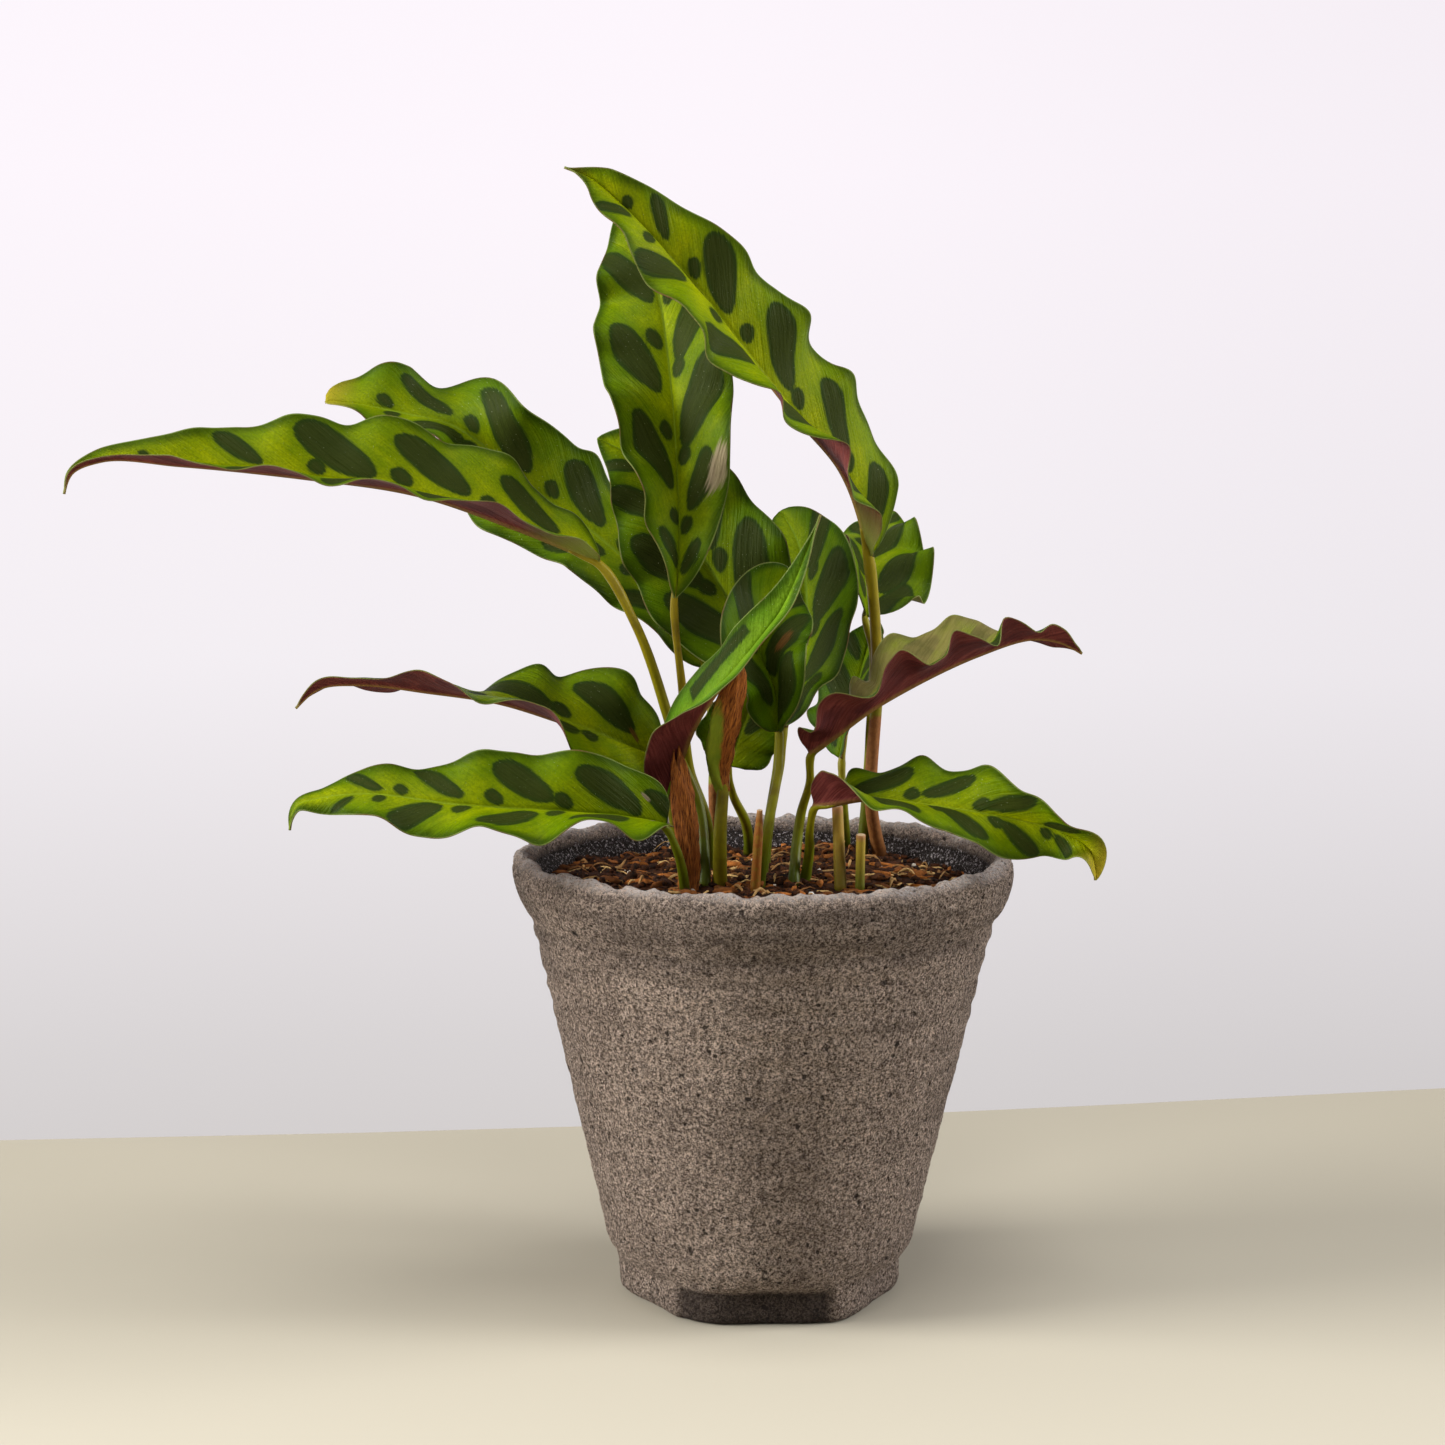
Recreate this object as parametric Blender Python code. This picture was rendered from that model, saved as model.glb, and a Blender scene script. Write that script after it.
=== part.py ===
"""Potted calathea: a rattlesnake-plant in a moulded fibre pot, as one fixed part.

Units are metres, +Z is up, the pot's axis is the Z axis and its foot stands on z = 0.
Every leaf is one blade built from a midrib route, the way its upper face looks, its
half-width and the waves of its two margins. A blade is a thin closed sheet.
"""
import bpy
import bmesh
import numpy as np

for old in list(bpy.data.objects):
    bpy.data.objects.remove(old, do_unlink=True)

MM = 0.001                  # the tables below are in millimetres

# ---- pot and soil --------------------------------------------------------------
POT_SIDES = 72              # facets round the pot
FOOT_FLATS = 6              # shallow flats pressed into the foot
FLAT_DEPTH = 3.2            # how far a flat is set in at its middle
FLAT_TURN = 3.0             # degrees the first flat is turned from facing -Y
FOOT_TOP = 10.5             # height of the foot ring
POT_OUTSIDE = [(36.3, 0.0), (37.2, FOOT_TOP), (39.5, 13.5), (42.3, 23.0), (60.0, 99.0),
               (60.6, 101.0), (62.8, 104.6), (64.5, 108.8), (65.0, 112.5), (64.3, 116.0), (62.5, 117.2)]
POT_INSIDE = [(60.6, 116.4), (60.0, 112.5), (57.4, 110.0), (56.4, 99.5), (38.6, 23.0),
              (33.0, 12.0), (31.0, 5.0)]
SOIL_TOP = 109.2            # level of the potting soil
SOIL_EDGE = 56.6            # radius of the soil at its top
SOIL_DEPTH = [(55.8, 99.5), (38.1, 23.0), (32.5, 12.0), (30.6, 5.4)]

# ---- blade sheet ----------------------------------------------------------------
SHEET = 0.8                 # thickness of a leaf blade
ROW_STEP = 5.2              # spacing of cross rows along a midrib
HALF_STRIPS = 4             # strips from the midrib to a margin
STALK_SIDES = 8
FOOT_RADIUS = 1.5           # stalk radius at the soil
NECK_RADIUS = 1.0           # stalk radius where the blade starts
GAP = 0.3                   # clearance between neighbouring pieces
SCALLOP = 0.06              # share of the half-width a wave pushes the margin out
CROWN = 0.12                # how much each half of a blade swells

# One entry per leaf, in millimetres and degrees. rib: midrib from neck to tip; stalk:
# from the soil to the neck; face: where the upper side looks, at shares of the length;
# minus and plus: the two halves, each (fold towards the face, wave height, place of
# the first crest, crest spacing); base and tip: how blunt the two ends are.
LEAVES = {
    "tall_arch": {
        "rib": [(28, 16, 194), (20, 5, 216), (8, -4, 230), (-5, -12, 246),
                (-20, -19, 265), (-36, -24, 282), (-43, -25, 288), (-50, -26, 291)],
        "stalk": [(33, 42, 110), (30, 33, 126), (31, 28, 157), (30, 23, 176)],
        "face": [(0, (0.71, -0.68, 0.19)), (0.35, (0.65, -0.68, 0.33)),
                 (0.6, (0.4, -0.87, 0.3)), (1, (-0.16, -0.86, 0.48))],
        "minus": ([(0, 46), (0.3, 48), (0.5, 40), (0.75, 27), (1, 20)], 3, 0.48, 0.181),
        "plus": ([(0, 13), (0.4, 13), (1, 24)], 2.4, 0.5, 0.206),
        "width": 19, "base": 0.52, "tip": 0.86, "foot": 1.8, "neck": 1.5},
    "upright_centre": {
        "rib": [(-23, -10, 184), (-22, -10, 194), (-23, -4, 224), (-25, 4, 245),
                (-28, 12, 263), (-36, 23, 286)],
        "stalk": [(-14, 18, 110), (-15, 5, 126), (-19, 2, 138), (-21, -4, 160)],
        "face": [(0, (0.14, -0.98, 0.1)), (0.5, (-0.16, -0.97, 0.19)), (1, (0.18, -0.9, 0.39))],
        "minus": ([(0, 43), (0.3, 45), (1, -9)], 2.7, 0.44, 0.191),
        "plus": ([(0, 20), (0.4, 26), (1, 15)], 2.4, 0.59, 0.243),
        "width": 19, "base": 0.85, "tip": 0.72},
    "long_left": {
        "rib": [(-42, -18, 194), (-61, -22, 202), (-87, -26, 211), (-114, -30, 215),
                (-144, -33, 218), (-163, -35, 219), (-170, -36, 216), (-172, -36, 211)],
        "stalk": [(-15, -10, 110), (-17, -4, 131), (-22, -3, 143), (-25, -4, 154), (-33, -13, 178)],
        "face": [(0, (0.08, -0.27, 0.96)), (0.6, (-0.01, -0.57, 0.82)), (1, (-0.53, -0.44, 0.72))],
        "minus": ([(0, 32), (0.15, 30), (1, 46)], 1.5, 0.23, 0.187),
        "plus": ([(0, 27), (1, 38)], 1.7, 0.22, 0.18),
        "width": 19, "base": 0.56, "tip": 1.21, "neck": 1.2},
    "back_left": {
        "rib": [(-16, 26, 163), (-24, 28, 178), (-44, 32, 197), (-58, 33, 207),
                (-82, 33, 226), (-97, 31, 230), (-107, 30, 232), (-117, 29, 233)],
        "stalk": [(-12, 31, 110), (-13, 22, 130), (-13, 24, 143)],
        "face": [(0, (-0.3, -0.25, 0.92)), (1, (-0.86, -0.22, 0.46))],
        "minus": ([(0, 6), (0.35, -7), (0.7, -2), (1, 10)], 3, 0.33, 0.21),
        "plus": ([(0, 10), (1, 34)], 3.1, 0.25, 0.205),
        "width": 17, "base": 0.56, "tip": 0.42},
    "centre_back": {
        "rib": [(1, 6, 164), (-6, 7, 177), (-15, 10, 192), (-25, 14, 208),
                (-33, 17, 218), (-44, 20, 224)],
        "stalk": [(0, 6, 110), (2, 4, 126), (4, 5, 141), (4, 6, 150)],
        "face": [(0, (0.1, -0.95, 0.2)), (1, (-0.1, -0.95, 0.3))],
        "minus": ([(0, 25), (0.4, 12), (1, 10)], 2, 0.32, 0.26),
        "plus": ([(0, 20), (1, 12)], 2, 0.35, 0.31),
        "width": 20.5, "base": 0.5, "tip": 0.8},
    "young_front": {
        "rib": [(-24, -12, 131), (-20, -18, 147), (-15, -26, 158), (-3, -34, 174),
                (4, -37, 184), (8, -38, 193), (13, -38, 207)],
        "stalk": [(-18, -9, 110), (-22, -11, 121)],
        "face": [(0, (-0.91, -0.16, 0.39)), (0.35, (-0.87, -0.12, 0.47)),
                 (0.55, (-0.65, -0.54, 0.54)), (1, (-0.35, -0.88, 0.32))],
        "minus": ([(0, 67), (0.4, 17), (0.6, 32), (1, 21)], 1.4, 0.34, 0.397),
        "plus": ([(0, 81), (0.25, 50), (0.45, 27), (0.6, 22), (1, 18)], 0.9, 0.21, 0.453),
        "width": 11, "base": 0.48, "tip": 1.3},
    "small_dark": {
        "rib": [(4, -8, 150), (3, -9, 160), (-1, -8, 170), (0, -6, 180), (3, -4, 187), (7, -3, 191)],
        "stalk": [(-1, -11, 110), (1, -13, 125), (4, -9, 141)],
        "face": [(0, (-0.12, -0.94, 0.31)), (0.5, (0.01, -0.86, 0.51)), (1, (-0.02, -0.95, 0.3))],
        "minus": ([(0, 55), (0.4, 50), (1, 45)], 1, 0.3, 0.3),
        "plus": ([(0, 72), (1, 9)], 1, 0.35, 0.297),
        "width": 16, "base": 0.52, "tip": 0.6},
    "lower_centre": {
        "rib": [(-9, 14, 138), (-6, 12, 147), (-3, 11, 156), (-1, 12, 162)],
        "stalk": [(-3, 44, 110), (-4, 34, 119), (-8, 21, 130)],
        "face": [(0, (0.05, -0.95, 0.3)), (1, (0, -0.95, 0.2))],
        "minus": ([(0, 8), (1, 8)], 1, 0.3, 0.3),
        "plus": ([(0, 8), (1, 8)], 1.2, 0.42, 0.3),
        "width": 11, "base": 0.49, "tip": 0.97},
    "right_back_tall": {
        "rib": [(6, 17, 148), (9, 21, 157), (12, 26, 170), (12, 31, 183),
                (10, 37, 195), (5, 43, 204)],
        "stalk": [(1, 22, 110), (2, 20, 122), (5, 18, 138)],
        "face": [(0, (0.01, -0.98, 0.2)), (1, (-0.02, -0.86, 0.51))],
        "minus": ([(0, -25), (1, -8)], 2, 0.3, 0.3),
        "plus": ([(0, 60), (1, 24)], 1.8, 0.42, 0.3),
        "width": 17.5, "base": 0.51, "tip": 0.62},
    "dark_back_right": {
        "rib": [(22, 44, 136), (24, 46, 145), (27, 53, 154), (30, 61, 164), (33, 69, 173)],
        "stalk": [(24, 50, 110), (23, 44, 124)],
        "face": [(0, (-0.83, -0.39, 0.4)), (1, (-0.45, -0.67, 0.59))],
        "minus": ([(0, 17), (1, 16)], 1.4, 0.26, 0.302),
        "plus": ([(0, 21), (1, 27)], 0.9, 0.43, 0.3),
        "width": 13.5, "base": 0.57, "tip": 0.95},
    "right_upper_back": {
        "rib": [(28, 34, 176), (29, 47, 182), (30, 63, 190), (33, 78, 197), (37, 92, 201)],
        "stalk": [(28, 40, 110), (29, 40, 123), (30, 36, 153), (30, 34, 167)],
        "face": [(0, (0.1, -0.8, 0.6)), (1, (-0.47, -0.52, 0.71))],
        "minus": ([(0, 62), (1, 8)], 3, 0.19, 0.36),
        "plus": ([(0, 11), (1, 4)], 3.8, 0.36, 0.301),
        "width": 18.5, "base": 0.5, "tip": 1},
    "right_twisted": {
        "rib": [(12, -12, 145), (17, -16, 149), (27, -19, 157), (40, -16, 164),
                (54, -12, 170), (69, -7, 174), (76, -5, 173), (82, -4, 170)],
        "stalk": [(8, -9, 110), (9, -3, 121), (10, -3, 128), (12, -6, 136)],
        "face": [(0, (-0.35, -0.6, 0.72)), (0.5, (-0.23, -0.43, 0.88)), (1, (-0.02, -0.22, 0.98))],
        "minus": ([(0, -45), (0.3, -5), (0.45, 22), (0.7, 22), (0.85, -30), (1, -40)], 1.8, 0.23, 0.2),
        "plus": ([(0, 88), (0.25, 62), (0.6, 50), (1, 48)], 3.2, 0.19, 0.18),
        "width": 15.5, "base": 0.51, "tip": 0.92},
    "lower_right": {
        "rib": [(13, -17, 132), (17, -21, 133), (25, -25, 135), (40, -29, 134),
                (58, -33, 132), (73, -36, 129), (80, -38, 125), (82, -39, 117)],
        "stalk": [(11, -5, 110), (12, -9, 119), (12, -14, 126)],
        "face": [(0, (-0.41, -0.03, 0.91)), (0.4, (0.01, -0.48, 0.88)),
                 (0.8, (0.12, -0.92, -0.38)), (1, (0.5, -0.84, 0.2))],
        "minus": ([(0, 5), (0.2, 17), (1, 41)], 2.1, 0.34, 0.247),
        "plus": ([(0, 81), (0.13, 68), (0.26, 18), (1, 21)], 1.9, 0.33, 0.298),
        "width": 12.5, "base": 0.4, "tip": 0.72},
    "left_middle": {
        "rib": [(-28, 1, 142), (-38, -6, 147), (-50, -12, 152), (-67, -17, 158),
                (-85, -20, 161), (-102, -22, 163), (-112, -23, 162), (-118, -23, 157)],
        "stalk": [(-17, 1, 110), (-19, -1, 120), (-22, -3, 135)],
        "face": [(0, (0.44, -0.86, 0.27)), (0.5, (-0.05, -0.29, 0.96)), (1, (-0.48, -0.24, 0.84))],
        "minus": ([(0, 10), (0.16, 14), (0.3, 24), (1, 42)], 2.6, 0.4, 0.264),
        "plus": ([(0, 18), (1, -33)], 2.6, 0.4, 0.237),
        "width": 18, "base": 0.46, "tip": 1.08},
    "left_low": {
        "rib": [(-25, -25, 128), (-35, -31, 131), (-51, -36, 133), (-75, -40, 135),
                (-98, -42, 138), (-109, -42, 137), (-115, -42, 135), (-117, -42, 129)],
        "stalk": [(-20, -16, 110), (-22, -22, 121)],
        "face": [(0, (0.1, -0.75, 0.66)), (0.6, (0, -0.76, 0.65)), (1, (-0.52, -0.74, 0.42))],
        "minus": ([(0, 48), (1, 0)], 3.3, 0.49, 0.249),
        "plus": ([(0, 47), (1, -22)], 2.1, 0.49, 0.251),
        "width": 15, "base": 0.41, "tip": 1.01, "foot": 1.3},
}

# Stems without a leaf. along and radius give the thickness along the route.
STEMS = {
    "bract_stem": {
        "route": [(-11, -9, 110), (-11, -11, 125), (-10, -11, 139)],
        "along": [0, 1], "radius": [1.9, 1.5],
        "colour": (0.32, 0.34, 0.04)},
    "cut_stub_orange": {
        "route": [(-2, -15, 110), (-1, -19, 131)],
        "along": [0, 0.7, 1], "radius": [1.3, 1.2, 0.7],
        "colour": (0.45, 0.3, 0.05)},
    "cut_stub_thick": {
        "route": [(20, -12, 110), (19, -12, 131)],
        "along": [0, 1], "radius": [1.6, 1.4],
        "colour": (0.5, 0.42, 0.08)},
    "cut_stub_short": {
        "route": [(25, -12, 110), (25, -14, 124)],
        "along": [0, 1], "radius": [1.2, 1.2],
        "colour": (0.42, 0.36, 0.08)},
    "dry_bract": {
        "route": [(-11, -13, 141), (-9, -22, 156), (-6, -28, 170)],
        "along": [0, 0.15, 0.5, 0.85, 1], "radius": [1.4, 2.4, 2.9, 1.8, 0.5],
        "colour": (0.4, 0.2, 0.08), "squash": 0.6},
    "dry_sheath": {
        "route": [(-17, -14, 110), (-19, -18, 126), (-21, -23, 141)],
        "along": [0, 0.4, 1], "radius": [1.2, 1.6, 0.5],
        "colour": (0.35, 0.19, 0.07), "squash": 0.6},
}


def material(name, colour, roughness, metallic=0.0):
    """A plain Principled material for one piece."""
    made = bpy.data.materials.new(name)
    made.use_nodes = True
    shader = made.node_tree.nodes["Principled BSDF"]
    shader.inputs["Base Color"].default_value = (*colour, 1.0)
    shader.inputs["Roughness"].default_value = roughness
    shader.inputs["Metallic"].default_value = metallic
    made.diffuse_color = (*colour, 1.0)
    return made


def add_solid(name, points, faces, colour, roughness):
    """Make one closed, outward-facing, smooth-shaded solid from millimetre points."""
    mesh = bpy.data.meshes.new(name)
    mesh.from_pydata([tuple(float(c) * MM for c in p) for p in points], [], faces)
    work = bmesh.new()
    work.from_mesh(mesh)
    bmesh.ops.recalc_face_normals(work, faces=work.faces)
    if work.calc_volume(signed=True) < 0:
        bmesh.ops.reverse_faces(work, faces=work.faces)
    work.to_mesh(mesh)
    work.free()
    for polygon in mesh.polygons:
        polygon.use_smooth = True
    piece = bpy.data.objects.new(name, mesh)
    bpy.context.scene.collection.objects.link(piece)
    mesh.materials.append(material(name + "_look", colour, roughness))
    return piece


def unit(rows):
    return rows / np.linalg.norm(rows, axis=-1, keepdims=True)


def smooth_line(points, count=None, step=None):
    """A smooth curve through the points, resampled to even spacing."""
    p = np.asarray(points, float)
    knots = np.concatenate([[0], np.cumsum(np.linalg.norm(np.diff(p, axis=0), axis=1) ** 0.75)])
    gaps = np.diff(knots)[:, None]
    slope = np.diff(p, axis=0) / gaps
    tangent = np.empty_like(p)
    tangent[1:-1] = (slope[:-1] * gaps[1:] + slope[1:] * gaps[:-1]) / (gaps[:-1] + gaps[1:])
    tangent[0] = (3 * slope[0] - tangent[1]) / 2 if len(p) > 2 else slope[0]
    tangent[-1] = (3 * slope[-1] - tangent[-2]) / 2 if len(p) > 2 else slope[0]
    where = np.linspace(0, knots[-1], 40 * len(p))
    span = np.clip(np.searchsorted(knots, where, side="right") - 1, 0, len(p) - 2)
    h = gaps[span]
    s = (where[:, None] - knots[span][:, None]) / h
    curve = ((2 * s ** 3 - 3 * s ** 2 + 1) * p[span] + (s ** 3 - 2 * s ** 2 + s) * h * tangent[span]
             + (3 * s ** 2 - 2 * s ** 3) * p[span + 1] + (s ** 3 - s ** 2) * h * tangent[span + 1])
    run = np.concatenate([[0], np.cumsum(np.linalg.norm(np.diff(curve, axis=0), axis=1))])
    if count is None:
        count = max(6, int(round(run[-1] / step)) + 1)
    even = np.linspace(0, run[-1], count)
    return np.column_stack([np.interp(even, run, curve[:, k]) for k in range(3)])


def keyed(u, keys):
    """Blend smoothly between (u, value) keys; a bare number is constant."""
    if not isinstance(keys, list):
        return np.full(len(u), float(keys))
    at = np.array([key[0] for key in keys], float)
    value = np.array([key[1] for key in keys], float)
    span = np.clip(np.searchsorted(at, u, side="right") - 1, 0, len(at) - 2)
    s = np.clip((u - at[span]) / (at[span + 1] - at[span]), 0, 1)
    s = s * s * (3 - 2 * s)
    if value.ndim > 1:
        s = s[:, None]
    return value[span] * (1 - s) + value[span + 1] * s


def blade_shape(u, base_power, tip_power):
    """Half-width of a blade along its midrib, 1 at the widest place."""
    widest = base_power / (base_power + tip_power)
    peak = widest ** base_power * (1 - widest) ** tip_power
    return u ** base_power * (1 - u) ** tip_power / peak


def blade_grid(leaf):
    """Middle surface of a blade: rows along the midrib, columns margin to margin."""
    rib = smooth_line(leaf["rib"], step=ROW_STEP)
    u = np.linspace(0.0, 1.0, len(rib))
    u_shape = np.linspace(0.003, 0.985, len(rib))
    along = unit(np.gradient(rib, axis=0))
    face = keyed(u, leaf["face"])
    face = unit(face - (face * along).sum(1)[:, None] * along)
    across = np.cross(along, face)
    half = leaf["width"] * blade_shape(u_shape, leaf["base"], leaf["tip"])
    calm = np.clip(u / 0.10, 0, 1) * np.clip((1 - u) / 0.08, 0, 1)
    calm = calm * np.clip(half / leaf["width"] * 1.3, 0, 1)
    grid = np.empty((len(rib), 2 * HALF_STRIPS + 1, 3))
    for column in range(2 * HALF_STRIPS + 1):
        out = column / HALF_STRIPS - 1.0
        side = -1.0 if out < 0 else 1.0
        reach = abs(out)
        fold, rise, first, spacing = leaf["minus"] if side < 0 else leaf["plus"]
        fold = np.radians(keyed(u, fold))
        swing = np.cos(2 * np.pi * (u - first) / spacing) * calm
        outward = np.cos(fold)[:, None] * across * side + np.sin(fold)[:, None] * face
        upward = np.cos(fold)[:, None] * face - np.sin(fold)[:, None] * across * side
        length = half * reach * (1 + SCALLOP * swing * reach)
        lift = rise * swing * reach ** 1.7 + CROWN * half * reach * (1 - reach)
        grid[:, column] = rib + outward * length[:, None] + upward * lift[:, None]
    return grid


def sheet_solid(name, grid, thickness, colour, roughness):
    """Thicken a grid of points evenly on both sides into one closed sheet."""
    rows, columns = grid.shape[:2]
    lengthwise = np.gradient(grid, axis=0)
    crosswise = np.gradient(grid, axis=1)
    normal = unit(np.cross(crosswise, lengthwise))
    upper = (grid + normal * thickness / 2).reshape(-1, 3)
    lower = (grid - normal * thickness / 2).reshape(-1, 3)
    below = rows * columns
    faces = []
    for r in range(rows - 1):
        for c in range(columns - 1):
            a = r * columns + c
            b = a + 1
            d = a + columns
            e = d + 1
            faces.append((a, b, e, d))
            faces.append((below + a, below + d, below + e, below + b))
    edge = [r * columns for r in range(rows)]
    edge += [(rows - 1) * columns + c for c in range(1, columns)]
    edge += [r * columns + columns - 1 for r in range(rows - 2, -1, -1)]
    edge += [c for c in range(columns - 2, 0, -1)]
    for k, a in enumerate(edge):
        b = edge[(k + 1) % len(edge)]
        faces.append((a, b, below + b, below + a))
    return add_solid(name, np.vstack([upper, lower]), faces, colour, roughness)


def tube_solid(name, route, radii, colour, roughness, sides=STALK_SIDES, squash=1.0):
    """A closed tube along a route; radii has one value per route point."""
    along = unit(np.gradient(route, axis=0))
    if route[0, 2] < SOIL_TOP + 1.0:
        along[0] = (0.0, 0.0, 1.0)      # a foot is cut level with the soil
    first = unit(np.cross(along[0], np.array([0.0, 1.0, 0.13])))
    points = []
    faces = []
    for k, centre in enumerate(route):
        first = unit(first - np.dot(first, along[k]) * along[k])
        second = np.cross(along[k], first)
        for m in range(sides):
            angle = 2 * np.pi * m / sides
            offset = np.cos(angle) * first + np.sin(angle) * second * squash
            points.append(centre + radii[k] * offset)
    for k in range(len(route) - 1):
        for m in range(sides):
            n = (m + 1) % sides
            faces.append((k * sides + m, k * sides + n, (k + 1) * sides + n, (k + 1) * sides + m))
    faces.append(tuple(range(sides)))
    faces.append(tuple((len(route) - 1) * sides + m for m in range(sides)))
    return add_solid(name, points, faces, colour, roughness)


def turned_solid(name, outline, sides, colour, roughness, flats=False):
    """Turn an outline that starts and ends near the axis into a closed solid."""
    points = []
    faces = []
    for radius, height in outline:
        for m in range(sides):
            angle = 2 * np.pi * m / sides
            r = radius
            if flats and height <= FOOT_TOP and radius > 34.0:
                turn = angle + np.pi / 2 - np.radians(FLAT_TURN)
                flat = 0.5 + 0.5 * np.cos(FOOT_FLATS * turn)
                r = radius - FLAT_DEPTH * flat
            points.append((r * np.cos(angle), r * np.sin(angle), height))
    for k in range(len(outline) - 1):
        for m in range(sides):
            n = (m + 1) % sides
            faces.append((k * sides + m, k * sides + n, (k + 1) * sides + n, (k + 1) * sides + m))
    start = len(points)
    points.append((0.0, 0.0, outline[0][1]))
    points.append((0.0, 0.0, outline[-1][1]))
    last = (len(outline) - 1) * sides
    for m in range(sides):
        n = (m + 1) % sides
        faces.append((start, n, m))
        faces.append((start + 1, last + m, last + n))
    return add_solid(name, points, faces, colour, roughness)


# ---- pot and soil ----------------------------------------------------------------
turned_solid("pot", POT_OUTSIDE + POT_INSIDE, POT_SIDES, (0.27, 0.22, 0.20), 0.95, flats=True)
turned_solid("soil", [(SOIL_EDGE, SOIL_TOP)] + SOIL_DEPTH, 48, (0.08, 0.045, 0.025), 0.95)

# ---- leaves and their stalks --------------------------------------------------------
LEAF_GREEN = (0.20, 0.33, 0.03)
YOUNG_GREEN = (0.18, 0.42, 0.06)
STALK_GREEN = (0.32, 0.30, 0.04)
for leaf_name, leaf in LEAVES.items():
    green = YOUNG_GREEN if leaf_name == "young_front" else LEAF_GREEN
    sheet_solid("leaf_" + leaf_name, blade_grid(leaf), SHEET, green, 0.45)
    route = smooth_line(leaf["stalk"] + leaf["rib"][:2], step=6.0)
    ends = np.linalg.norm(route - np.array(leaf["rib"][0], float), axis=1)
    route = route[:int(np.argmin(ends))]
    neck = np.array(leaf["rib"][0], float)
    pull = unit(neck - route[-1])
    route = np.vstack([route, neck - pull * (GAP + 0.7)])
    route[0, 2] = SOIL_TOP + GAP
    radii = np.linspace(leaf.get("foot", FOOT_RADIUS), leaf.get("neck", NECK_RADIUS), len(route))
    tube_solid("stalk_" + leaf_name, route, radii, STALK_GREEN, 0.5)

# ---- cut stems, dry bract and dry sheath -----------------------------------------------
for stem_name, stem in STEMS.items():
    route = smooth_line(stem["route"], step=5.0)
    route[0, 2] = max(route[0, 2], SOIL_TOP + GAP)
    share = np.linspace(0, 1, len(route))
    radii = np.interp(share, stem["along"], stem["radius"])
    tube_solid(stem_name, route, radii, stem["colour"], 0.7, squash=stem.get("squash", 1.0))
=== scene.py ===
"""Looks of the potted calathea: dense wavy leaves, stalks, fibre pot and soil over the CAD frame.

Lengths in the tables are millimetres in the part's own frame; the scene is in metres.
"""

import bpy
import numpy as np
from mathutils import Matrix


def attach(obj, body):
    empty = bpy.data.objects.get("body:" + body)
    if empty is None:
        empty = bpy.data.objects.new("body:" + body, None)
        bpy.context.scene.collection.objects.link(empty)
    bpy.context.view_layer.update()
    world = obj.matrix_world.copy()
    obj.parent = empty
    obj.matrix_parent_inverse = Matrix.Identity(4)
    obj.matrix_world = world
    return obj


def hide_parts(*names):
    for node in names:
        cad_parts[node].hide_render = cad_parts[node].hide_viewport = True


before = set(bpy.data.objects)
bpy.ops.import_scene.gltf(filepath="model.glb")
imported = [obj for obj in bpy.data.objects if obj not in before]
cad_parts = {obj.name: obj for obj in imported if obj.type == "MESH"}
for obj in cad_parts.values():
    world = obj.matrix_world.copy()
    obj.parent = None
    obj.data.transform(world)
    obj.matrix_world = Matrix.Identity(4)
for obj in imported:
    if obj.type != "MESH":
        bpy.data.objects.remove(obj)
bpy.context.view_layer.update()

MM = 0.001
SOIL_TOP = 109.2            # level of the potting soil
ROOTED = 1.2                # how far a stalk reaches under the soil
SCALLOP = 0.06              # how much a wave widens the blade, as a share
CROWN = 0.12                # how much each half of a blade arches
VEIN_ANGLE = 33.0           # degrees between a side vein and the midrib
BLADE_THICK = 0.42
BLADE_ROW = 0.75            # spacing of the rows of points along a blade
BLADE_HALF = 24             # columns of points on each side of the midrib

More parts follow.
